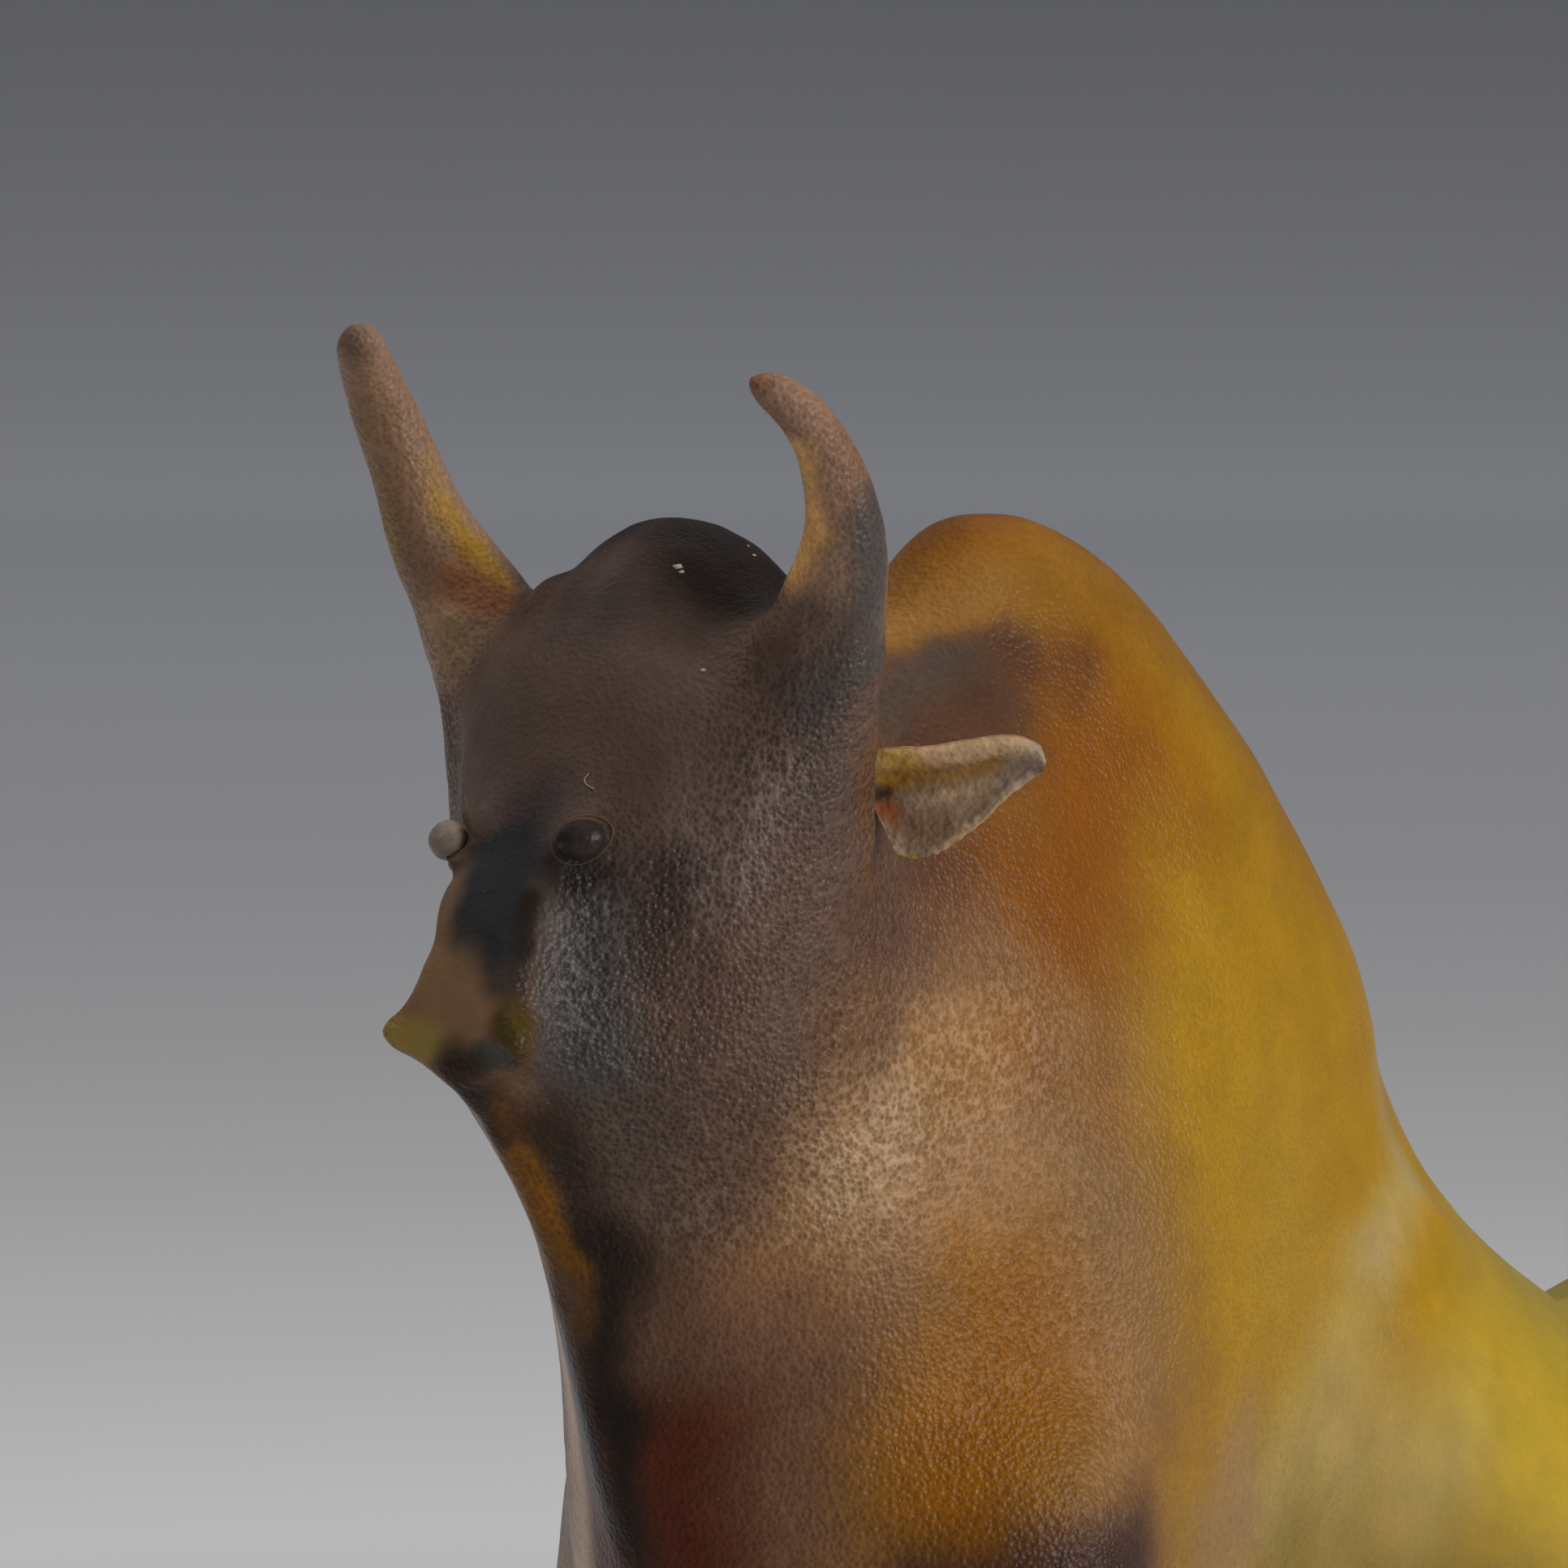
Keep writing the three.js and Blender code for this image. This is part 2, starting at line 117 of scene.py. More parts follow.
class BisonColours(bpy.types.PropertyGroup):
    """The colours of the glass, with the painted light and shade laid among them"""

    crown: colour("Crown", "Tuft between the horns", (0.0080, 0.0038, 0.0020))
    brow: colour("Brow", "Forehead", (0.140, 0.088, 0.067))
    bridge: colour("Bridge", "Blue-black flat of the nose", (0.023, 0.025, 0.027))
    muzzle: colour("Muzzle", "Rusty front of the nose", (0.303, 0.172, 0.086))
    mustard: colour("Mustard", "Yellow-green of the nostrils", (0.430, 0.318, 0.055))
    moss: colour("Moss", "Nostril patch at the near side", (0.064, 0.042, 0.0050))
    cheek: colour("Cheek", "Sides of the head", (0.127, 0.070, 0.047))
    # Painted highlight: the pale grain where the key light catches the cheekbones
    cheekbone_highlight: colour("Dove", "Pale grain on the cheekbones", (0.230, 0.160, 0.130))
    # Partly painted reflection: below the eyes it is the grey-blue of the key light's sheen on the cheeks
    slate: colour("Slate", "Blue-grey under the eyes and at the roots of the horns", (0.056, 0.051, 0.050))
    jaw: colour("Jaw", "Under the cheeks", (0.082, 0.055, 0.041))
    keel: colour("Keel", "Streak down the throat", (0.220, 0.080, 0.0020))
    # Also painted shade under the muzzle and under the roots of the ears
    soot_and_shade: colour("Soot", "Black streaks", (0.0110, 0.0048, 0.0018))
    # Also painted glow down the throat and painted shade in the ears' grooves
    breast: colour("Breast", "Red of the breast", (0.085, 0.011, 0.0012))
    # Also painted shade under the muzzle
    sable: colour("Sable", "Dark brown beside the breast", (0.082, 0.040, 0.022))
    clay: colour("Clay", "Brown side between the shoulder and the cape", (0.262, 0.128, 0.034))
    umber: colour("Umber", "Brown of the chest", (0.200, 0.095, 0.050))
    # Partly painted highlight: the rose is laid where the key light's sheen falls on the shoulder
    shoulder: colour("Shoulder", "Rose of the shoulder", (0.370, 0.186, 0.066))
    ember: colour("Ember", "Orange above the foreleg", (0.300, 0.104, 0.0005))
    hock: colour("Hock", "Dark root of the foreleg", (0.050, 0.020, 0.015))
    plum: colour("Plum", "Side of the neck behind the head", (0.108, 0.035, 0.012))
    # Also a painted glow along the crest of the hump
    rust: colour("Rust", "Side of the neck", (0.250, 0.074, 0.0020))
    hump: colour("Hump", "Top of the hump", (0.270, 0.118, 0.010))
    cape: colour("Cape", "Amber of the cape", (0.400, 0.208, 0.0080))
    # Also painted highlight along the ridge of the cape's hem
    flank_and_highlight: colour("Flank", "Pale side behind the cape", (0.490, 0.370, 0.170))
    olive: colour("Olive", "Side of the belly", (0.240, 0.163, 0.036))
    loin: colour("Loin", "Back behind the hump", (0.440, 0.275, 0.030))
    yolk: colour("Yolk", "Yellow of the hind side", (0.560, 0.370, 0.022))
    rump: colour("Rump", "Yellow-green of the rump", (0.320, 0.245, 0.036))
    horn: colour("Horn", "Horns", (0.310, 0.180, 0.112))
    # Painted glow of light through the inner edge of the left horn
    horn_edge_glow: colour("Blush", "Light held in the inner edge of the left horn", (0.900, 0.480, 0.160))
    ear: colour("Ear", "Ears", (0.300, 0.195, 0.118))
    # Also painted highlights on the ears' rims and ridges and on the shoulder, and painted light on shaded
    # places
    tan: colour("Tan", "Rims of the ears", (0.500, 0.320, 0.165))
    # Painted glow of light through the thin roots of the horns and ears, and along the ears' lower edges
    painted_glow: colour("Glow", "Yellow roots of the horns and ears", (0.400, 0.210, 0.012))
    # Painted orange sparkle of light at the roots of the horns and ears and at the left horn's tip
    painted_spark: colour("Spark", "Orange-red at the roots of the horns and ears", (0.300, 0.060, 0.010))
    ash: colour("Ash", "Grey of the horn tips and the lower legs", (0.420, 0.330, 0.260))
    # Painted light on the shaded far side of the chest
    far_side_light: colour("Veil", "Pale right side of the chest", (0.700, 0.460, 0.300))
    bead: colour("Bead", "Eye beads", (0.030, 0.020, 0.018))
    chip: colour("Chip", "Cream chips on the crown", (0.500, 0.400, 0.280))


class BisonStage(bpy.types.PropertyGroup):
    """The studio"""

    floor: colour("Floor", "Pale floor and wall", (0.697, 0.697, 0.700))
    key: FloatProperty(
        name="Key", description="Power of the light at the animal's left", default=19, min=0, unit="POWER"
    )
    top: FloatProperty(name="Top", description="Power of the light overhead", default=13, min=0, unit="POWER")
    lens: FloatProperty(
        name="Lens", description="Focal length on a 36 mm sensor", default=260.9, min=1, unit="CAMERA"
    )


# Mesh helpers


def new_piece(name, mesh):
    """A shaded-smooth piece of the figure."""
    mesh.name = name
    piece = bpy.data.objects.new(name, mesh)
    bpy.context.scene.collection.objects.link(piece)
    smooth_shade(mesh)
    return piece


def smooth_shade(mesh):
    mesh.polygons.foreach_set("use_smooth", [True] * len(mesh.polygons))
    mesh.update()


def mesh_of(bm, name):
    mesh = bpy.data.meshes.new(name)
    bm.to_mesh(mesh)
    bm.free()
    return mesh


def edges_of(verts):
    return list(dict.fromkeys(edge for vert in verts for edge in vert.link_edges))


def faces_of(verts):
    return list(dict.fromkeys(face for vert in verts for face in vert.link_faces))


def spin_round(bm, profile):
    """Spins a profile once round the upright axis."""
    bmesh.ops.spin(
        bm, geom=profile, cent=(0, 0, 0), axis=(0, 0, 1), angle=2 * math.pi, steps=96, use_merge=True
    )


def surface_of(piece):
    """The piece's surface as it is now, on which places can be found."""
    probe = bmesh.new()
    probe.from_mesh(piece.data)
    tree = BVHTree.FromBMesh(probe)
    probe.free()
    return tree


def face_outwards(bm, verts):
    """Turns the faces of the closed shell that has those points outwards."""
    bm.normal_update()
    faces = faces_of(verts)
    bmesh.ops.recalc_face_normals(bm, faces=faces)
    volume = sum(face.calc_center_median().dot(face.normal) * face.calc_area() for face in faces)
    middle = sum((face.calc_center_median() for face in faces), Vector()) / len(faces)
    volume -= sum(middle.dot(face.normal) * face.calc_area() for face in faces)
    if volume < 0:
        bmesh.ops.reverse_faces(bm, faces=faces)


def bake_modifiers(piece):
    """Turns the piece's modifiers into its mesh."""
    graph = bpy.context.evaluated_depsgraph_get()
    mesh = bpy.data.meshes.new_from_object(
        piece.evaluated_get(graph), preserve_all_data_layers=True, depsgraph=graph
    )
    piece.modifiers.clear()
    old, piece.data = piece.data, mesh
    bpy.data.meshes.remove(old)


def modify(piece, kind, **settings):
    made = piece.modifiers.new(kind.title(), kind)
    for name, value in settings.items():
        setattr(made, name, value)
    bake_modifiers(piece)


def points_of(mesh):
    """The mesh's points in millimetres from between the horns."""
    flat = np.empty(len(mesh.vertices) * 3, np.float32)
    mesh.vertices.foreach_get("co", flat)
    return (flat.reshape(-1, 3) - at(0, 0, 0)) / MM


def normals_of(mesh):
    flat = np.empty(len(mesh.vertices) * 3, np.float32)
    mesh.vertex_normals.foreach_get("vector", flat)
    return flat.reshape(-1, 3)


def move_points(mesh, points):
    mesh.vertices.foreach_set("co", (points * MM + at(0, 0, 0)).astype(np.float32).ravel())
    mesh.update()


def rise(low, high, values):
    """0 at low, 1 at high, smooth between."""
    t = np.clip((values - low) / (high - low), 0, 1)
    return t * t * (3 - 2 * t)


WEIGHT_STEPS = 50


def weigh(piece, name, weights):
    """A vertex group with those weights, to the nearest step."""
    group = piece.vertex_groups.new(name=name)
    steps = np.rint(weights * WEIGHT_STEPS).astype(int)
    for step in np.unique(steps):
        group.add(np.flatnonzero(steps == step).tolist(), float(step) / WEIGHT_STEPS, "REPLACE")


def flow(stops, values, t):
    """A smooth curve that has these values at the stops."""
    ts, values = np.array(stops, float), np.array(values, float)
    slopes = np.gradient(values, ts)
    i = np.clip(np.searchsorted(ts, t, side="right") - 1, 0, len(ts) - 2)
    step = ts[i + 1] - ts[i]
    u = (t - ts[i]) / step
    a, b = values[i], values[i + 1]
    curve = a * (2 * u ** 3 - 3 * u ** 2 + 1) + b * (3 * u ** 2 - 2 * u ** 3)
    return curve + step * (slopes[i] * (u ** 3 - 2 * u ** 2 + u) + slopes[i + 1] * (u ** 3 - u ** 2))


def wander(points, size, seed=0):
    """Smooth noise from about -1 to 1, with features of that size."""
    shift = Vector((seed * 17.3, seed * 9.1, seed * 5.7))
    return np.array([noise.noise(Vector(p) / size + shift) for p in points.tolist()])


def ripples(points, waves):
    """Smooth noises added up, each with its height, the size of its features and its seed."""
    return sum(height * wander(points, size, seed) for height, size, seed in waves)


def stray(points, size, seed):
    """A smooth shift for each point, from three noises with features of that size."""
    return np.stack([wander(points, size, seed + i) for i in range(3)], 1)


def mirrored(points):
    """The points brought over to the animal's left side."""
    return np.stack([points[:, 0], np.abs(points[:, 1]), points[:, 2]], 1)


def side_of(points):
    """1 for each point on the animal's left side and -1 for each on its right."""
    return np.where(points[:, 1] < 0, -1, 1)


def on_side(side, place):
    """The place or move once for each point, turned to the point's own side."""
    x, y, z = place
    return np.stack([np.full(len(side), x), y * side, np.full(len(side), z)], 1)


def from_line(points, start, end):
    """Distance of each point from the line between start and end."""
    start, end = np.array(start, float), np.array(end, float)
    span = end - start
    t = np.clip((points - start) @ span / max(span @ span, 1e-9), 0, 1)
    return np.linalg.norm(points - start - t[:, None] * span, axis=1)


# The figure's skin


def parts_of_head(points):
    """For each point, how far it belongs to the horns, the muzzle and the head, from 0 to 1."""
    x, y, z = points.T
    side = np.abs(y)
    horns = rise(103, 107, z) * rise(10.5, 12.5, side) * rise(-9, -6, x)
    muzzle = rise(9, 13, x) * rise(74, 79, z) * rise(103, 97, z)
    head = rise(-16, -4, x) * rise(66, 76, z)
    return horns, muzzle, head


HORN_ROOT = (0.6, 8.9, 109)  # the hollow between the crown and a horn
# How much of the melting the finer parts are spared
SPARED_HEAD, SPARED_MUZZLE, SPARED_HORNS, SPARED_LEGS, SPARED_TAIL = 0.78, 0.93, 0.9, 0.65, 0.88
ROOT_MELTING = 0.8  # how much the hollows at the horns' roots are melted all the same


def melting(points):
    """How far each point is smoothed: fully on the body, hardly where the bits are thin."""
    horns, muzzle, head = parts_of_head(points)
    weight = 1 - SPARED_HEAD * head
    weight = np.minimum(weight, 1 - SPARED_MUZZLE * muzzle)
    weight = np.minimum(weight, 1 - SPARED_HORNS * horns)
    weight = np.minimum(weight, 1 - SPARED_LEGS * rise(32, 24, points[:, 2]))
    root = np.linalg.norm(mirrored(points) - HORN_ROOT, axis=1)
    weight = np.maximum(weight, ROOT_MELTING * rise(4.5, 2, root))
    return np.minimum(weight, 1 - SPARED_TAIL * rise(-118, -121, points[:, 0]))


# Bits that are taken off the copy of the solid before it is remeshed, because they are worked finer
DIAGONAL = math.sqrt(0.5)  # an ear stands out at 45 degrees
EAR_CUT = 0.9  # how far out along the ear it is cut off
EAR_HALF, EAR_LOW, EAR_HIGH = 3.2, 91.5, 102.5  # its reach to the sides of its blade, down and up
NOSTRIL_CUT = 20.8  # X + Y of the plane that cuts a nostril off
NOSTRIL_BACK, NOSTRIL_LEVEL, NOSTRIL_HALF = 15.2, 82.6, 2.2
EYE_INSIDE = (10.9, 3.8, 93.9)
BEAD_REACH, BEAD_SHRINK = 1.4, 0.12


def ear_places(points):
    """How far along the ear each point lies, and how far out of its blade."""
    x, y, _ = mirrored(points).T
    along = DIAGONAL * (y - EAR_ROOT[1] - x + EAR_ROOT[0])
    return along, DIAGONAL * (y - EAR_ROOT[1] + x - EAR_ROOT[0])


def take_off_bits(mesh):
    """Flattens the solid's ears and nostrils to stumps, and shrinks its eye beads into the head."""
    points = points_of(mesh)
    side = side_of(points)
    x, y, z = mirrored(points).T
    along, out = ear_places(points)
    ear = (along > EAR_CUT) & (np.abs(out) < EAR_HALF) & (z > EAR_LOW) & (z < EAR_HIGH)
    past = np.where(ear, (along - EAR_CUT) * DIAGONAL, 0)
    nostril = (x + y > NOSTRIL_CUT) & (x > NOSTRIL_BACK) & (np.abs(z - NOSTRIL_LEVEL) < NOSTRIL_HALF)
    past_nostril = np.where(nostril, (x + y - NOSTRIL_CUT) / 2, 0)
    points += np.stack([past - past_nostril, -side * (past + past_nostril), np.zeros(len(x))], 1)
    bead = np.linalg.norm(mirrored(points) - EYE, axis=1) < BEAD_REACH
    centre = on_side(side, EYE_INSIDE)
    points[bead] = (centre + BEAD_SHRINK * (points - centre))[bead]
    move_points(mesh, points)


def press(points, normals, start, end, radius, depth):
    """Presses the skin in along a line and along its mirror image."""
    fade = np.clip(1 - (from_line(mirrored(points), start, end) / radius) ** 2, 0, 1) ** 2
    return points - normals * (depth * fade)[:, None]


# Shallow valleys down the head and behind the jaw: the two ends of the line, its radius and its depth
VALLEYS = [
    ((6.4, 11.2, 98.5), (7.6, 9.4, 86.5), 3.2, 0.42),
    ((12.2, 6.4, 89.5), (12.6, 6.2, 84.5), 2.6, 0.3),
    ((-6.2, 14.4, 91.5), (-1.5, 13.6, 84), 3.6, 0.35),
    ((-1.5, 13.6, 84), (4.2, 10.8, 78.5), 3.6, 0.35),
]

# Soft pushes that bring the melted skin to the photo's outline: the middle, the reach, the move, and whether
# the push is on both sides.
PUSHES = [
    ((-26, 0, 113), 16, (0, 0, 0.6), False),
    ((-45, 0, 110), 14, (-0.2, 0, 0.6), False),
    ((-50.5, 8, 95), 11, (-0.4, 0.45, 0), True),
    ((-57.5, 8, 85), 11, (-0.6, 0.65, 0), True),
    ((-62.2, 10, 72.5), 7, (0.4, -0.55, -0.25), True),
    ((-64.5, 9.5, 69.5), 6, (0.3, -0.35, -0.5), True),
    ((-95, 6, 57.5), 13, (0, 0, -1.6), True),
    ((1.5, -15.5, 111), 7, (0.45, -0.5, 0), False),
    ((0, -6.5, 110.5), 5, (0, 0, -0.8), False),
    ((-1.2, -11.5, 111.3), 3, (0.15, -0.3, -0.35), False),
    ((2.8, -6.8, 109), 3.2, (0, 0, 1.0), False),
    ((13.9, -4.1, 90.9), 4.2, (0.6, -0.65, 0), False),
    ((16.2, -3.6, 86), 3, (0.27, -0.3, 0), False),
    ((15.6, -0.5, 80), 3.5, (0.25, -0.2, -0.15), False),
    ((-2.8, 15.6, 97), 4, (0.3, -0.3, 0), True),
]
NOSTRIL = (16.5, 4.1, 82.9)
NOSTRIL_WIDTH = 1.65
NOSTRIL_HEADING = (0.62, 0.78, -0.08)
LID_SWELL, LID_REACH, LID_WIDTH = 0.2, 2.0, 0.38  # the swelling under the lip of glass round an eye
HORN_SWELL, TIP_SWELL = 0.2, 0.25  # what the melting took off the horns and off the right one's tip


def shape_skin(mesh, shape):
    """The moves that the figure was finished with: its outline, valleys, lids round the eyes and nostrils."""
    points, normals = points_of(mesh), normals_of(mesh)
    side = side_of(points)
    for middle, reach, move, both in PUSHES:
        away = np.linalg.norm((mirrored(points) if both else points) - middle, axis=1)
        near = np.clip(1 - (away / reach) ** 2, 0, 1) ** 2
        points = points + near[:, None] * on_side(side if both else np.ones(len(side)), move)
    for start, end, radius, depth in VALLEYS:
        points = press(points, normals, start, end, radius, depth)
    horns = parts_of_head(points)[0]
    fuller = HORN_SWELL * horns + TIP_SWELL * horns * rise(114, 120, points[:, 2]) * (points[:, 1] < 0)
    around = np.linalg.norm(mirrored(points) - EYE, axis=1)
    lid = np.exp(-(((around - LID_REACH) / LID_WIDTH) ** 2))
    points = points + normals * (LID_SWELL * lid + fuller)[:, None]
    away = np.linalg.norm(mirrored(points) - NOSTRIL, axis=1)
    pull = np.exp(-((away / NOSTRIL_WIDTH) ** 2)) * shape.nostril_pull / MM
    move_points(mesh, points + on_side(side, NOSTRIL_HEADING) * pull[:, None])


# How strongly the skin is pebbled, from 0 to 1: on the hind body, how much more on the side and the neck, and
# on the parts of the head
HIND_PEBBLES, SIDE_PEBBLES, NECK_PEBBLES = 0.26, 0.24, 0.16
CHEEK_PEBBLES, FOREHEAD_PEBBLES, NOSE_PEBBLES, HORN_PEBBLES = 0.95, 0.35, 0.16, 0.68
EAR_PEBBLES, BEAD_PEBBLES, LID_PEBBLES, CHIP_PEBBLES = 0.42, 0.25, 0.15, 0.3


def pebbling(points):
    """How strongly pebbled each point's skin is."""
    horns, muzzle, head = parts_of_head(points)
    x, y, z = points.T
    value = HIND_PEBBLES + SIDE_PEBBLES * rise(-62, -34, x) + NECK_PEBBLES * rise(-28, -14, x)
    cheek = head * rise(3, 8, np.abs(y) + 0.9 * np.maximum(0, 80 - z))
    value = value + (CHEEK_PEBBLES - value) * cheek
    forehead = head * rise(92, 99, z) * rise(13, 7, np.abs(y))
    value = value + (FOREHEAD_PEBBLES - value) * forehead
    nose = muzzle * rise(5.2, 3.4, np.abs(y)) * rise(79, 82, z)
    value = value + (NOSE_PEBBLES - value) * nose
    return value + (HORN_PEBBLES - value) * horns


# Ripples of the surfaces and of their colours, each with its height, the size of its features and its seed
SKIN_RIPPLES = ((0.05, 1.9, 0), (0.045, 0.8, 1))
EAR_RIPPLES = ((0.05, 0.32, 0), (0.04, 0.7, 1), (0.04, 1.3, 2))
BEAD_RIPPLES = ((0.022, 0.3, 0), (0.02, 0.7, 1))
SKIN_CLOUDS = ((0.06, 4, 9), (0.05, 1.1, 10))
EAR_CLOUDS = ((0.08, 0.3, 4), (0.07, 0.8, 6))
BEAD_CLOUDS = ((0.15, 0.5, 2),)


def add_relief(mesh):
    """The coarser part of the skin's relief."""
    points, normals = points_of(mesh), normals_of(mesh)
    strength = pebbling(points) * rise(0.2, 1.5, points[:, 2])
    height = strength * ripples(points, SKIN_RIPPLES)
    move_points(mesh, points + normals * height[:, None])


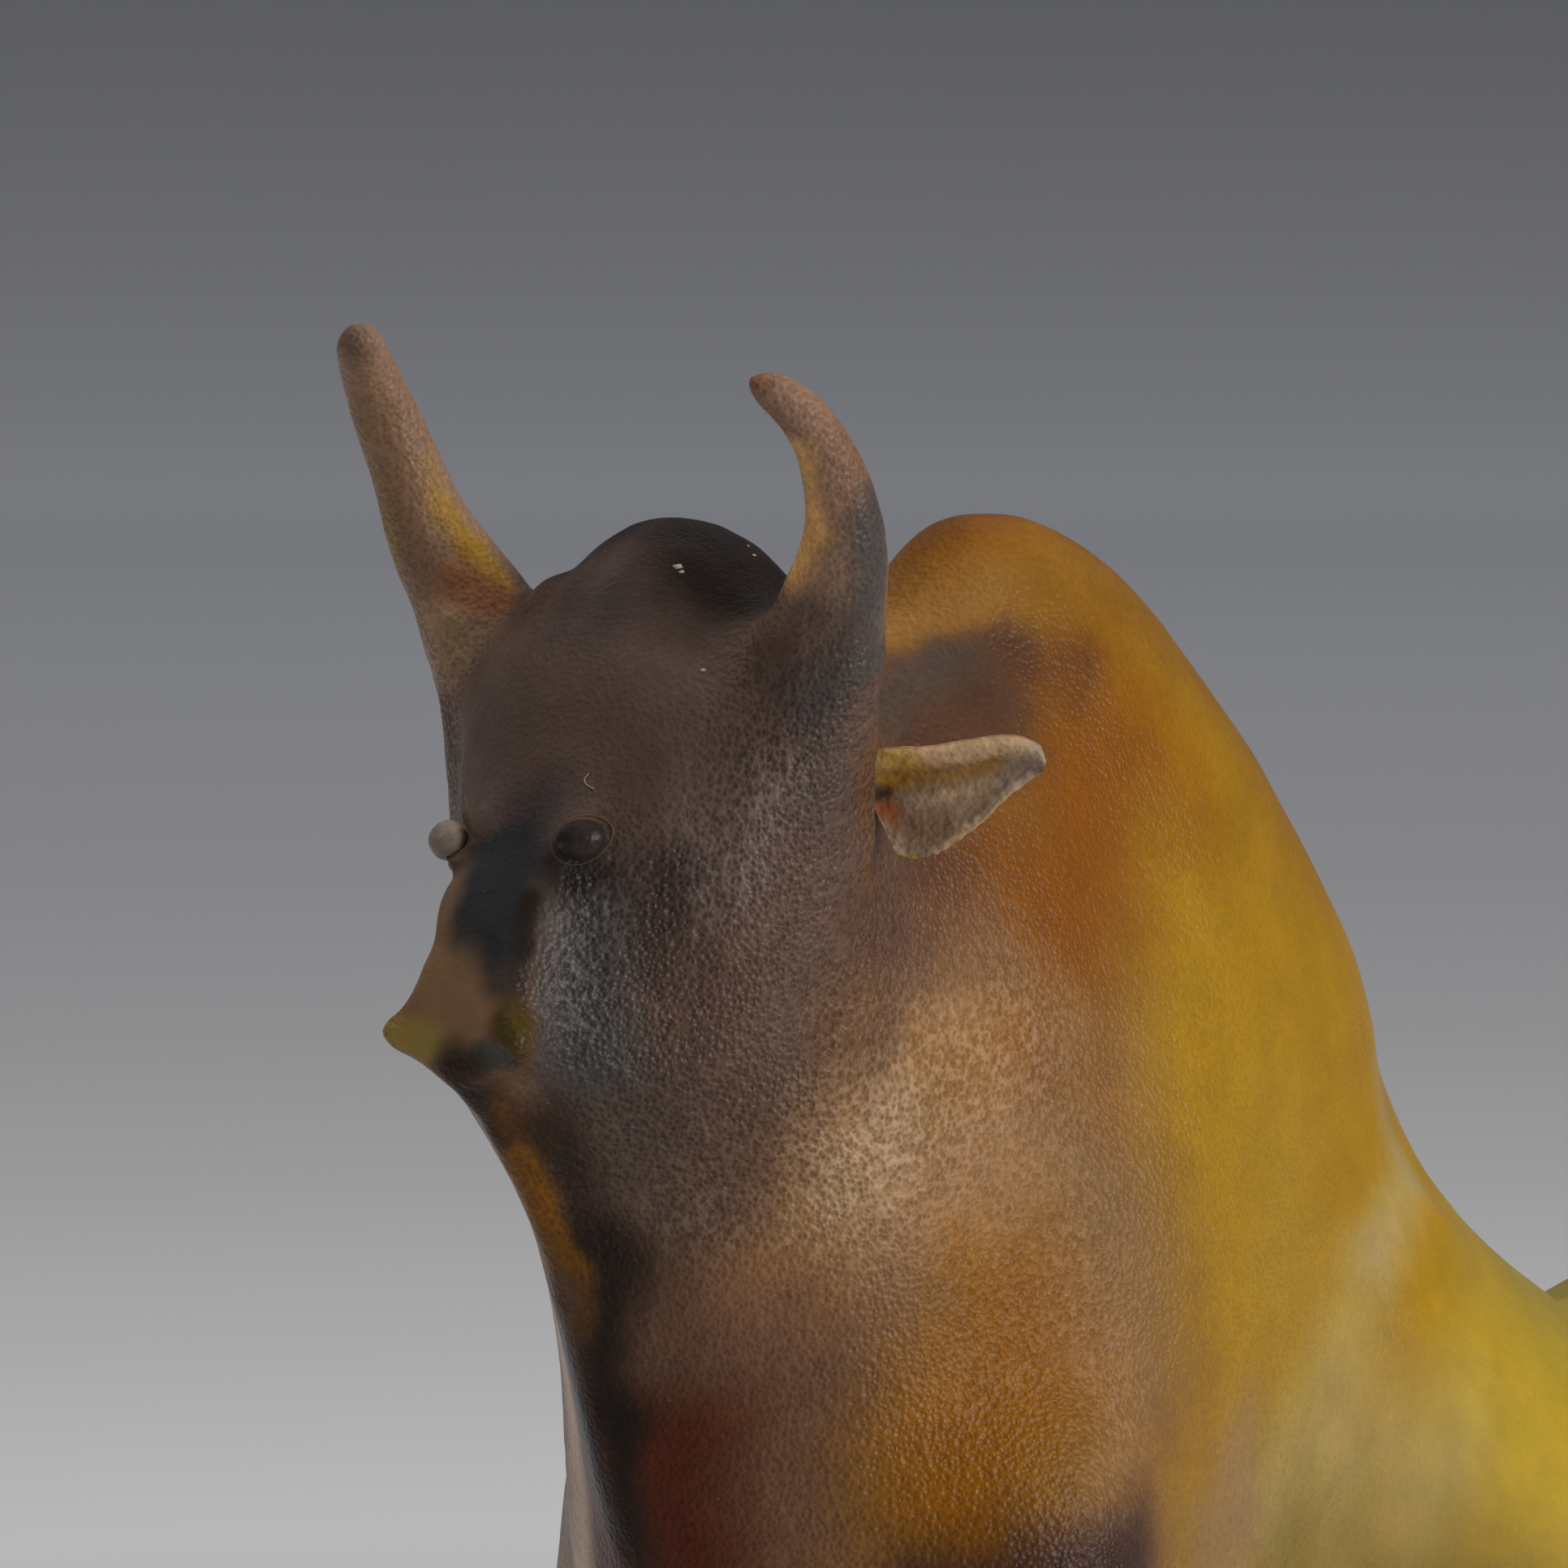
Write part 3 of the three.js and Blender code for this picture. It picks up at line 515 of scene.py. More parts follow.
# Colour patches, in the order in which they melt over each other: the colour, the two ends of the patch's
# middle line, its radius, how softly it fades and how fully it covers. They are on both sides unless marked.
ONE_SIDED = True
PATCHES = [
    ("rump", (-84, 10, 58), (-110, 12, 48), 20, 1.0, 0.8),
    ("yolk", (-64, 16, 54), (-90, 16, 40), 10, 1.3, 0.9),
    ("olive", (-41, 17, 46), (-66, 17, 36), 10.5, 1.3, 0.85),
    ("flank_and_highlight", (-48, 16.5, 54), (-57, 16, 50), 7.5, 1.3, 0.55),
    # Painted highlight along the ridge of the cape's hem, in these two narrow flank patches
    ("flank_and_highlight", (-60.4, 11.6, 70.6), (-52, 15, 65), 3.6, 1.2, 0.75),
    ("flank_and_highlight", (-50, 15.7, 62.5), (-38, 18.2, 50), 3.8, 1.3, 0.42),
    ("horn", (-35, 18.2, 55), (-32.5, 18.8, 46), 4, 1.2, 0.65),
    ("hump", (-18, 2, 112), (-46, 4, 108), 9, 1.0, 0.95),
    ("hump", (-46, 5, 106), (-53, 7, 92), 8, 1.3, 0.8),
    # Painted glow along the crest of the hump, where light comes through its top edge
    ("rust", (-18, 0, 112.5), (-40, 0, 112.5), 4.4, 1.3, 0.9),
    ("sable", (-23, 0, 113), (-37, 0, 113), 3.2, 1.3, 0.35),
    ("shoulder", (-19, 2.4, 108), (-26, 4.6, 107.8), 3.8, 1.3, 0.5),
    ("rust", (-32, 9, 99), (-25, 13, 90), 7.8, 1.3, 0.95),
    ("rust", (-37, 9.5, 96.5), (-40, 10, 93), 5, 1.3, 0.35),
    ("loin", (-41, 15, 72), (-42, 17.5, 60), 8, 1.3, 0.35),
    ("plum", (-12, 8, 101), (-22, 8, 101), 6, 1.3, 0.95),
    ("sable", (-14, 6.8, 101.5), (-24, 7.4, 101), 4.5, 1.3, 0.8),
    ("plum", (-8, 12, 92), (-14, 12.2, 90), 7, 1.3, 0.85),
    ("rust", (-19, 12.2, 91), (-23, 13.3, 86), 4, 1.3, 0.6),
    # The shoulder patches are partly painted highlight, where the key light's sheen falls on the shoulder
    ("shoulder", (-14, 14.5, 81), (-11, 14.5, 75), 8, 1.3, 0.95),
    ("shoulder", (-10, 14, 76), (-2.5, 11.8, 71.5), 7, 1.3, 0.9),
    ("rust", (-18.5, 14.6, 81), (-18.5, 14.8, 78.5), 3.2, 1.3, 0.4),
    ("ember", (-11, 14.4, 78), (-17, 14.3, 82.5), 3.6, 1.3, 0.25),
    ("rust", (-23.5, 15.6, 78.5), (-24, 16, 76), 3.6, 1.3, 0.3),
    ("shoulder", (-21, 17.8, 66), (-22, 19.5, 56), 4, 1.3, 0.32),
    ("ember", (-15.5, 16.8, 64), (-11, 16.2, 53), 7.5, 1.3, 0.98),
    ("shoulder", (-17, 16, 71.6), (-15, 16, 71), 2.8, 1.3, 0.5),
    ("hock", (-8.5, 15.5, 46.5), (-20.7, 21.6, 49), 4.8, 1.0, 0.95),
    ("sable", (6, 4, 68), (3, 5, 54), 5, 1.3, 0.9),
    ("breast", (1.6, 3.9, 56), (0.4, 3.6, 42), 5.0, 1.4, 0.95),
    ("ash", (-13, 19, 38), (-13, 19, 0), 9, 0.6, 0.9),
    ("ash", (-104, 15, 26), (-104, 15, 0), 9, 0.6, 0.6),
    ("jaw", (-15, 6.4, 102.4), (-21.2, 5.5, 104), 2.4, 1.0, 0.9),
    ("jaw", (-21.2, 5.5, 104), (-28.2, 7.2, 104.3), 1.8, 1.3, 0.75),
    ("plum", (-27, 7.2, 103.8), (-32.5, 8.2, 102.8), 2.4, 1.3, 0.75),
    ("cheek", (-2, 12, 100), (4, 9, 82), 13, 0.5, 1.0),
    ("plum", (-6, 13.4, 90), (-4.5, 13.3, 83), 3.6, 1.3, 0.35),
    ("clay", (-4.5, 13.2, 78), (-4.5, 13.5, 83), 4, 1.3, 0.4),
    # Painted highlight at the front of the shoulder, in this shoulder patch and the tan one
    ("shoulder", (-3.4, 13.2, 77.5), (-1.0, 12, 72.5), 3.6, 1.4, 0.65),
    ("tan", (-8, 14.1, 77), (-3.4, 12.8, 73), 3.6, 1.3, 0.6),
    ("jaw", (10, 6, 80), (6, 6, 74), 5.5, 1.3, 0.85),
    ("umber", (4.6, 6.4, 72), (3, 9, 75), 3.4, 1.3, 0.3),
    ("brow", (4, 3, 107), (8, 6, 96), 10, 0.8, 0.95),
    # Painted light on the shaded outer root of the right horn
    ("tan", (3.4, -16, 112), (3.6, -13.9, 105.1), 3.4, 1.3, 0.9, ONE_SIDED),
    ("horn", (3.7, -13.7, 105), (8.5, -7.3, 96.1), 1.8, 1.2, 0.4, ONE_SIDED),
    ("rust", (-3.4, 15.4, 99.6), (-5.2, 13.8, 91.7), 1.0, 1.2, 0.2),
    # Painted highlight on the cheekbones
    ("cheekbone_highlight", (3.6, 13.5, 97.1), (5.8, 11.3, 92.4), 2.8, 1.3, 0.45),
    # Partly painted reflection: the grey-blue of the key light's sheen on the cheek below the eye
    ("slate", (12.3, 6.5, 90), (12.8, 6.6, 82), 4, 1.0, 0.9),
    ("crown", (7.8, 8.9, 92.7), (8.4, 8.5, 87.2), 1.9, 1.3, 0.5),
    ("crown", (12, 3.5, 93.0), (11.3, 7.0, 92.0), 1.7, 1.3, 0.75),
    ("crown", (12.4, 5.6, 95), (11.7, 6.6, 94), 2.7, 1.3, 0.35),
    ("crown", (-2.2, 2.4, 112.5), (-3.6, 6.8, 110.2), 5.4, 1.0, 0.95),
    ("crown", (1.6, 5.2, 110.6), (0.5, 8.6, 109), 2.6, 1.2, 0.8),
    ("crown", (3.8, 2.0, 109.4), (2.8, 7, 107.6), 2.6, 1.4, 0.35),
    ("slate", (5.5, 2, 108.6), (3.5, -1, 109.3), 2.6, 1.3, 0.35),
    ("slate", (1.2, 15.6, 101), (0.2, 15.6, 97), 3, 1.3, 0.3),
    ("slate", (1.6, 17.4, 106), (2.3, 16.2, 103.2), 2.6, 1.3, 0.65, ONE_SIDED),
    ("slate", (10.3, 1.8, 97.1), (12.2, 3.2, 93.5), 2.0, 1.3, 0.4, ONE_SIDED),
    ("bridge", (11.0, -0.2, 95.6), (13, -0.2, 92.5), 3.2, 1.4, 0.6, ONE_SIDED),
    ("bridge", (12.6, -0.2, 93.2), (15.6, 0.8, 88.6), 2.9, 0.5, 0.9, ONE_SIDED),
    ("soot_and_shade", (13.6, 3.1, 91.2), (15.0, 3.4, 88.4), 0.9, 1.0, 0.75, ONE_SIDED),
    ("soot_and_shade", (15.0, 3.4, 88.4), (16.2, 3.9, 84.8), 0.8, 1.0, 0.6, ONE_SIDED),
    ("muzzle", (13.2, -4.2, 94.5), (16.4, -3.0, 87.5), 1.7, 1.0, 0.6, ONE_SIDED),
    ("muzzle", (17.2, -1.0, 85.4), (17.2, 0.8, 83.0), 3.6, 0.8, 0.95, ONE_SIDED),
    ("bridge", (14.6, 2.4, 89), (16, 2.8, 86), 1.3, 1.2, 0.7, ONE_SIDED),
    ("mustard", (17.2, -2.5, 82.2), (18.4, -5.6, 82.6), 1.7, 1.0, 0.7, ONE_SIDED),
    ("moss", (17.0, 4.4, 83.6), (17.6, 5.4, 82.8), 1.9, 1.0, 0.9, ONE_SIDED),
    ("bridge", (17.2, 1.7, 81.5), (17, 3.8, 81.7), 1.15, 1.0, 0.95, ONE_SIDED),
    ("moss", (17.2, 1.6, 81.3), (17, 3.2, 81.3), 1.2, 1.0, 0.45, ONE_SIDED),
    # Painted shadow under the muzzle: the dark soot and sable patches down to the chin
    ("soot_and_shade", (16.8, 0, 80.4), (15.4, 0, 79.2), 2.3, 1.0, 0.95),
    ("keel", (16.4, 1.6, 79.8), (15.2, 2.2, 78.4), 1.1, 1.3, 0.3),
    ("sable", (15.5, 0.7, 79.2), (13.2, 0.7, 75.8), 2.6, 1.0, 0.85),
    ("soot_and_shade", (15.8, 0, 79.4), (13.8, 0, 76.4), 1.2, 1.2, 0.6),
    ("muzzle", (14.6, 2.9, 79.6), (13.4, 3.6, 77.6), 1.2, 1.0, 0.4, ONE_SIDED),
    ("keel", (14.6, 1.4, 77.8), (12.8, 1.8, 75.4), 1.5, 1.3, 0.45),
    ("soot_and_shade", (12.3, 2.9, 77.1), (7.4, 2.9, 69.9), 2.4, 1.3, 0.65),
    ("soot_and_shade", (7.4, 2.9, 69.9), (4.2, 1.8, 58), 2.6, 1.3, 0.9),
    ("soot_and_shade", (4.2, 1.6, 58), (2.9, 0.4, 46), 1.8, 1.3, 0.9),
    # Partly painted glow: the orange of the keel down the throat
    ("keel", (12.6, 0.6, 74.8), (8.4, 1.2, 68.9), 1.3, 1.0, 0.9),
    ("keel", (8.4, 1.2, 68.9), (6.6, 1.2, 64), 0.9, 1.3, 0.4),
    # Painted light on the far side of the chest and the far foreleg's root, which lie in shade
    ("far_side_light", (2.2, -5.7, 66), (-3.9, -10, 47), 3.4, 1.2, 0.95, ONE_SIDED),
    ("far_side_light", (-3.9, -10, 47), (-10, -16, 38), 4, 1.4, 0.7, ONE_SIDED),
    ("tan", (-8, -15.5, 50), (-13, -19, 42), 4.5, 1.2, 0.6, ONE_SIDED),
]

# The glass under the patches, by how far behind the horns it lies
BASE = [(2, "umber"), (14, "clay"), (25, "clay"), (33.5, "cape"), (60, "cape"), (88, "loin")]

# Patches on the horns, which are laid over the others
HORN_PATCHES = [
    ("horn", (0.6, 16.6, 110.5), (8.6, 16.4, 122.7), 4.6, 0.6, 1.0),
    ("slate", (0, 19.4, 106), (1.6, 21, 114), 2.8, 1.0, 0.85, ONE_SIDED),
    # Painted glow of light through the inner edge of the left horn
    ("horn_edge_glow", (3.3, 15.2, 111.4), (4.6, 17.4, 113.7), 1.8, 1.2, 1.0, ONE_SIDED),
    ("horn_edge_glow", (4.6, 17.4, 113.7), (6.2, 18.2, 118.4), 1.3, 1.2, 0.8, ONE_SIDED),
    ("jaw", (2.6, 16.6, 108.4), (1.4, 18, 106.8), 1.9, 1.3, 0.75, ONE_SIDED),
    # Painted orange sparkle at the left horn's tip
    ("painted_spark", (8.4, 16.4, 122.5), (8.6, 16.4, 122.9), 1.3, 1.0, 0.3, ONE_SIDED),
    ("muzzle", (3.2, -17, 112), (6.4, -17.6, 120), 3.2, 1.3, 0.5, ONE_SIDED),
    ("mustard", (4.2, -18.4, 111), (6.8, -18.6, 118), 1.3, 1.2, 0.45, ONE_SIDED),
    # Painted glow and sparkle of light through the root of the right horn
    ("painted_glow", (2.8, -16.2, 116.6), (2.2, -15.3, 114.1), 0.8, 1.2, 0.3, ONE_SIDED),
    ("painted_glow", (2.2, -15.3, 114.1), (1.4, -13.4, 111.4), 1.0, 1.2, 0.6, ONE_SIDED),
    ("painted_glow", (1.4, -13.4, 111.4), (0.2, -11.8, 109.6), 1.3, 1.2, 0.7, ONE_SIDED),
    ("painted_spark", (2.6, -13.6, 109.4), (1.6, -11.4, 108), 1.7, 1.0, 0.4, ONE_SIDED),
    ("jaw", (8.4, -16.4, 124.2), (8.6, -16.4, 124.9), 1.6, 1.0, 0.4, ONE_SIDED),
]

# Painted glints: where the key light's highlight is painted on, the pebbles stand out pale over darker pits:
# the two ends of the place's middle line, its radius, how softly it fades and how strong it is. They are on
# both sides.
GLINT_LINES = [
    ((11.2, 5.2, 89.4), (12.6, 5.9, 85), 2.6, 1.3, 0.55),
    ((3.6, 13.5, 98), (5.8, 11.3, 92), 3.2, 1.3, 0.35),
    ((-4.5, 13.1, 74), (-17.5, 14.3, 81), 6, 1.3, 0.75),
    ((-20.5, 16, 75), (-21.5, 20, 54), 3.6, 1.3, 0.25),
    ((3, 6.8, 71), (-3, 11.5, 70), 3.0, 1.3, 0.35),
]


def nearness(points, start, end, radius, soft):
    """1 near the line between start and end, and 0 well past the radius."""
    return rise(1 + 0.35 * soft, 1 - 0.75 * soft, from_line(points, start, end) / radius)


def melt_over(shades, points, patches, colours):
    """Melts the patches over the shades, which are square roots of light, in which mixes look even."""
    for name, start, end, radius, soft, cover, *one_sided in patches:
        near = nearness(points if one_sided else mirrored(points), start, end, radius, soft)
        shades += (np.sqrt(getattr(colours, name)) - shades) * (cover * near)[:, None]


def store(mesh, name, kind, values):
    layer = mesh.attributes.new(name, kind, "POINT")
    layer.data.foreach_set("value" if kind == "FLOAT" else "color", values.astype(np.float32).ravel())


def glint_strength(points):
    """How strongly each point's painted glints show, from 0 to 1."""
    value = np.zeros(len(points))
    for *line, radius, soft, strength in GLINT_LINES:
        value = np.maximum(value, strength * nearness(mirrored(points), *line, radius, soft))
    return value


def store_colours(mesh, shades, pebbled):
    colours = np.concatenate([shades ** 2, np.ones((len(shades), 1))], 1)
    store(mesh, "glass_colour", "FLOAT_COLOR", colours)
    store(mesh, "pebbling", "FLOAT", np.broadcast_to(pebbled, len(shades)))


# How the patches' outlines swirl and curl: the size of the bends, how far they stray on the body, and how
# much less they stray on the muzzle. The head has a share of the muzzle's calm.
SWIRL_SIZE, SWIRL, SWIRL_CALM = 7, 1.7, 1.45
CURL_SIZE, CURL, CURL_CALM, HORN_CURL = 1.6, 0.45, 0.2, 0.3
HEAD_CALM = 0.7


def paint_skin(mesh, colours):
    """Gives every point of the skin its colour, with painted light and shade, its pebbling and its painted
    glints.
    """
    points = points_of(mesh)
    _, muzzle, head = parts_of_head(points)
    curl = stray(points, CURL_SIZE, 6)
    calm = np.maximum(muzzle, HEAD_CALM * head)
    drift = points + stray(points, SWIRL_SIZE, 3) * (SWIRL - SWIRL_CALM * calm)[:, None]
    drift += curl * (CURL - CURL_CALM * muzzle)[:, None]
    places = [x for x, _ in BASE]
    casts = np.sqrt(np.array([getattr(colours, name) for _, name in BASE]))
    shades = np.stack([np.interp(-drift[:, 0], places, cast) for cast in casts.T], 1)
    melt_over(shades, drift, PATCHES, colours)
    melt_over(shades, points + curl * HORN_CURL, HORN_PATCHES, colours)
    cloudy = 1 + ripples(points, SKIN_CLOUDS)
    store_colours(mesh, shades * cloudy[:, None], pebbling(points))
    store(mesh, "painted_glints", "FLOAT", glint_strength(drift))


MERGE_DISTANCE = 0.001 * MM
SMOOTHING = 0.5
THINNING_SPARED = 0.97  # how far the head and the front of the chest are spared when the mesh is thinned


def make_skin(shape):
    """The whole figure but its ears and eye beads, reshaped from a merged copy of its solid."""
    bm = bmesh.new()
    bm.from_mesh(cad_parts["bison"].data)
    bmesh.ops.remove_doubles(bm, verts=bm.verts, dist=MERGE_DISTANCE)
    piece = new_piece("bison_glass", mesh_of(bm, "bison_glass"))
    take_off_bits(piece.data)
    modify(piece, "REMESH", mode="VOXEL", voxel_size=shape.voxel)
    weigh(piece, "melting", melting(points_of(piece.data)))
    modify(piece, "SMOOTH", factor=SMOOTHING, iterations=shape.melt_rounds, vertex_group="melting")
    piece.vertex_groups.clear()
    shape_skin(piece.data, shape)
    points = points_of(piece.data)
    horns, _, head = parts_of_head(points)
    front = rise(-6, 0, points[:, 0]) * rise(44, 50, points[:, 2])
    weigh(piece, "thinning", 1 - THINNING_SPARED * np.maximum(np.maximum(head, horns), front))
    whole = len(piece.data.vertices) * 2
    modify(piece, "DECIMATE", ratio=shape.skin_faces / whole, vertex_group="thinning",
           vertex_group_factor=1, use_collapse_triangulate=True)
    piece.vertex_groups.clear()
    add_relief(piece.data)
    points = points_of(piece.data)
    points[:, 2] = np.maximum(points[:, 2], 0)
    move_points(piece.data, points)
    smooth_shade(piece.data)
    return piece


# Ears: a blade that hangs from a rolled rim. `along` runs back from the root, `up` from the rim, and `out`
# towards the hollow side, in millimetres. Stops are shares of the ear's length.

EAR_GRID = (96, 64)
EAR_SHEET = 0.2  # thickness of the sheet, as a share of its side, before it is shaped
EAR_STOPS = (0, 0.2, 0.42, 0.62, 0.78, 0.89, 0.96, 1)
TOP_ALONG = (-1.0, 1.2, 3.9, 6.4, 8.5, 9.9, 10.75, 11.0)
TOP_UP = (1.1, 1.45, 1.6, 2.0, 2.25, 2.05, 1.5, 0.8)
LOW_ALONG = (1.9, 3.2, 5.0, 7.1, 8.9, 10.3, 10.85, 11.0)
LOW_UP = (-5.05, -5.35, -4.7, -3.15, -1.4, -0.4, 0.1, 0.8)
RAGS = ((0.11, 22, 2), (0.07, 60, 3))  # the lower edge's notches: their depth, how many, and their seed
EAR_EDGE = 0.6  # how far in from its lower edge the blade starts to thin
BLADE_FRONT, BLADE_REAR = 0.30, 0.34  # half thicknesses of the blade
REAR_ROLL = 0.9
RIDGE_HEIGHT, RIDGE_DOWN, RIDGE_WIDTH = 0.34, 3.3, 0.75  # the ridge inside the ear
HOLLOW = 0.75
EAR_LEAN = 0.6


def ear_forms(p, q, front, rim):
    """Places on the ear for shares p along it and q down it, on its front or its back."""
    top = np.stack([flow(EAR_STOPS, TOP_ALONG, p), flow(EAR_STOPS, TOP_UP, p)], 1)
    low = np.stack([flow(EAR_STOPS, LOW_ALONG, p), flow(EAR_STOPS, LOW_UP, p)], 1)
    none = np.zeros(len(p))
    ragged = sum(
        depth * wander(np.stack([p * count, none, none], 1), 1.0, seed) for depth, count, seed in RAGS
    )
    low[:, 1] += ragged * rise(0.02, 0.2, p) * rise(0.98, 0.85, p)
    width = np.linalg.norm(top - low, axis=1)
    place = top + (low - top) * q[:, None]
    down = q * width
    roll = np.sqrt(np.clip(1 - ((down - rim / 2) / (rim / 2)) ** 2, 0, 1)) * rim / 2
    edge = np.sqrt(np.clip((width - down) / EAR_EDGE, 0, 1))
    ridge = RIDGE_HEIGHT * np.exp(-(((down - RIDGE_DOWN) / RIDGE_WIDTH) ** 2)) * rise(0.05, 0.3, p)
    down_blade = np.clip((down - rim * 0.5) / np.maximum(width - rim * 0.5, 0.5), 0, 1)
    hollow = -HOLLOW * np.sin(np.pi * down_blade) * rise(1, 0.7, p)
    face = np.maximum(roll, (BLADE_FRONT + ridge) * edge) + hollow
    rear = -np.maximum(roll * REAR_ROLL, BLADE_REAR * edge) + hollow
    return place[:, 0], np.where(front, face, rear) + EAR_LEAN * rise(0.1, 0.5, p), place[:, 1]


# The ear's colour patches, with places along the ear, 0 and up from its rim
EAR_PATCHES = [
    # Partly painted highlights along the rim's roll and, lower down, along the inner ridge
    ("tan", (1, 0, 0.9), (9.5, 0, 1.6), 1.0, 0.9, 0.85),
    # Painted glow of light through the ear's root
    ("painted_glow", (1.2, 0, 1.0), (3.0, 0, 0.3), 0.9, 1.2, 0.6),
    ("painted_glow", (0.8, 0, -0.4), (1.9, 0, -0.5), 0.7, 1.2, 0.75),
    # Painted shade in the groove under the rim's roll
    ("keel", (1.6, 0, -0.75), (8.2, 0, 0.35), 0.65, 1.3, 0.6),
    ("umber", (2.0, 0, -3.2), (4.4, 0, -3.0), 1.3, 1.3, 0.45),
    ("tan", (3.4, 0, -1.9), (9.4, 0, -0.3), 0.45, 1.2, 0.45),
    ("ash", (10.3, 0, 0.9), (8.6, 0, -0.6), 1.2, 1.0, 0.5),
    # Painted orange sparkle near the root, and painted shade under the root
    ("painted_spark", (0.9, 0, -2.1), (1.7, 0, -2.4), 0.8, 1.3, 0.7),
    ("soot_and_shade", (0.4, 0, -1.6), (1.4, 0, -1.3), 0.5, 1.2, 0.7),
    ("ash", (0.75, 0, -2.7), (1.95, 0, -5.1), 0.14, 0.6, 0.8),
    # Painted glint along the lower edge
    ("painted_glow", (1.8, 0, -5.2), (3.0, 0, -5.35), 0.3, 1.0, 0.9),
    ("tan", (4.5, 0, -4.9), (9.6, 0, -1.0), 0.3, 1.0, 0.7),
]
EAR_CURL = 0.22
EAR_CHIPS = 0.3  # how pale the chips along the lower edge are


def paint_ear(along, up, colours):
    """The ear's colours, with its painted light and shade, by where they lie on it."""
    where = np.stack([along, np.zeros(len(along)), up], 1)
    where = where + EAR_CURL * stray(where, 0.6, 1)
    where[:, 1] = 0
    shades = np.tile(np.sqrt(colours.ear), (len(along), 1))
    melt_over(shades, where, EAR_PATCHES, colours)
    above_edge = up - np.interp(along, LOW_ALONG, LOW_UP)
    chips = rise(0.25, 0.55, wander(where, 0.28, 5)) * rise(2.2, 0.2, above_edge)
    shades += (np.sqrt(colours.chip) - shades) * (EAR_CHIPS * chips)[:, None]
    return shades * (1 + ripples(where, EAR_CLOUDS))[:, None]


def add_ear(bm, side, rim):
    """One ear as a closed shell. Gives back how far along the ear and up from its rim each point lies."""
    before = len(bm.verts)
    made = bmesh.ops.create_grid(bm, x_segments=EAR_GRID[0], y_segments=EAR_GRID[1], size=0.5)
    bmesh.ops.solidify(bm, geom=faces_of(made["verts"]), thickness=EAR_SHEET)
    verts = list(bm.verts)[before:]
    flat = np.array([vert.co for vert in verts])
    p, q = np.clip(flat[:, 0] + 0.5, 0, 1), np.clip(flat[:, 1] + 0.5, 0, 1)
    # Rows are closer together towards the tip and both edges, where the ear bends most
    p = np.sin(p * math.pi / 2) * 0.35 + p * 0.65
    q = 0.5 - 0.5 * np.cos(q * math.pi)
    along, out, up = ear_forms(p, q, flat[:, 2] > flat[:, 2].mean(), rim / MM)
    x = EAR_ROOT[0] - DIAGONAL * along + DIAGONAL * out
    y = EAR_ROOT[1] + DIAGONAL * along + DIAGONAL * out
    for vert, *place in zip(verts, x, side * y, EAR_ROOT[2] + up):
        vert.co = at(*place)
    face_outwards(bm, verts)
    return along, up


def make_ears(shape, colours):
    bm = bmesh.new()
    places = [add_ear(bm, side, shape.rim_thickness) for side in (1, -1)]
    piece = new_piece("ears", mesh_of(bm, "ears"))
    points, normals = points_of(piece.data), normals_of(piece.data)
    move_points(piece.data, points + normals * ripples(points, EAR_RIPPLES)[:, None])
    along, up = (np.concatenate(values) for values in zip(*places))
    store_colours(piece.data, paint_ear(along, up, colours), EAR_PEBBLES)
    return piece


# Eyes

EYE_LIFT = 0.3  # the left eye stands this much higher than its place in the solid, and the right one lower
BEAD_SHAPE = (1.22, 0.97, 0.98)  # a bead's length, height and depth, as shares of its radius
BEAD_BACK, BEAD_SINK = 0.15 * MM, 0.2 * MM
RIGHT_BEAD = 0.77  # painted light through the right bead: how pale it is painted beside the ash colour, in square roots of light
LID_LONG, LID_HIGH, LID_SLANT = 1.2, 0.93, 0.12
LID_POINT = 0.10  # how far the lip is drawn out to a point at its back
LID_BACK, LID_UP = 0.35 * MM, 0.1 * MM
LID_GLINT = 0.65  # painted glint: how pale the upper part of the lip is painted beside the muzzle
LID_PROBE = 4 * MM


def eye_frame(side):
    """The eye's middle and the directions back along the face, up it, and out of it."""
    out = Vector((0.60, 0.78 * side, 0.18)).normalized()
    back = Vector((-0.75, 0.62 * side, 0.22))
    back = (back - out * back.dot(out)).normalized()
    return at(EYE[0], side * EYE[1], EYE[2] + side * EYE_LIFT), back, out.cross(back) * side, out


def make_beads(shape, colours):
    """The eye beads, a little longer than high."""
    bm = bmesh.new()
    for side in (1, -1):
        middle, back, up, out = eye_frame(side)
        made = bmesh.ops.create_icosphere(bm, subdivisions=5, radius=shape.bead_radius)
        for vert in made["verts"]:
            p = vert.co.copy()
            place = middle + back * (BEAD_SHAPE[0] * p.x + BEAD_BACK) + up * (BEAD_SHAPE[1] * p.y)
            vert.co = place + out * (BEAD_SHAPE[2] * p.z - BEAD_SINK)
        face_outwards(bm, made["verts"])
    piece = new_piece("eye_beads", mesh_of(bm, "eye_beads"))
    points, normals = points_of(piece.data), normals_of(piece.data)
    move_points(piece.data, points + normals * ripples(points, BEAD_RIPPLES)[:, None])
    # The right bead is painted paler, for the light that shows through it
    shades = np.where(points[:, 1:2] > 0, np.sqrt(colours.bead), np.sqrt(colours.ash) * RIGHT_BEAD)
    store_colours(piece.data, shades * (1 + ripples(points, BEAD_CLOUDS))[:, None], BEAD_PEBBLES)
    return piece


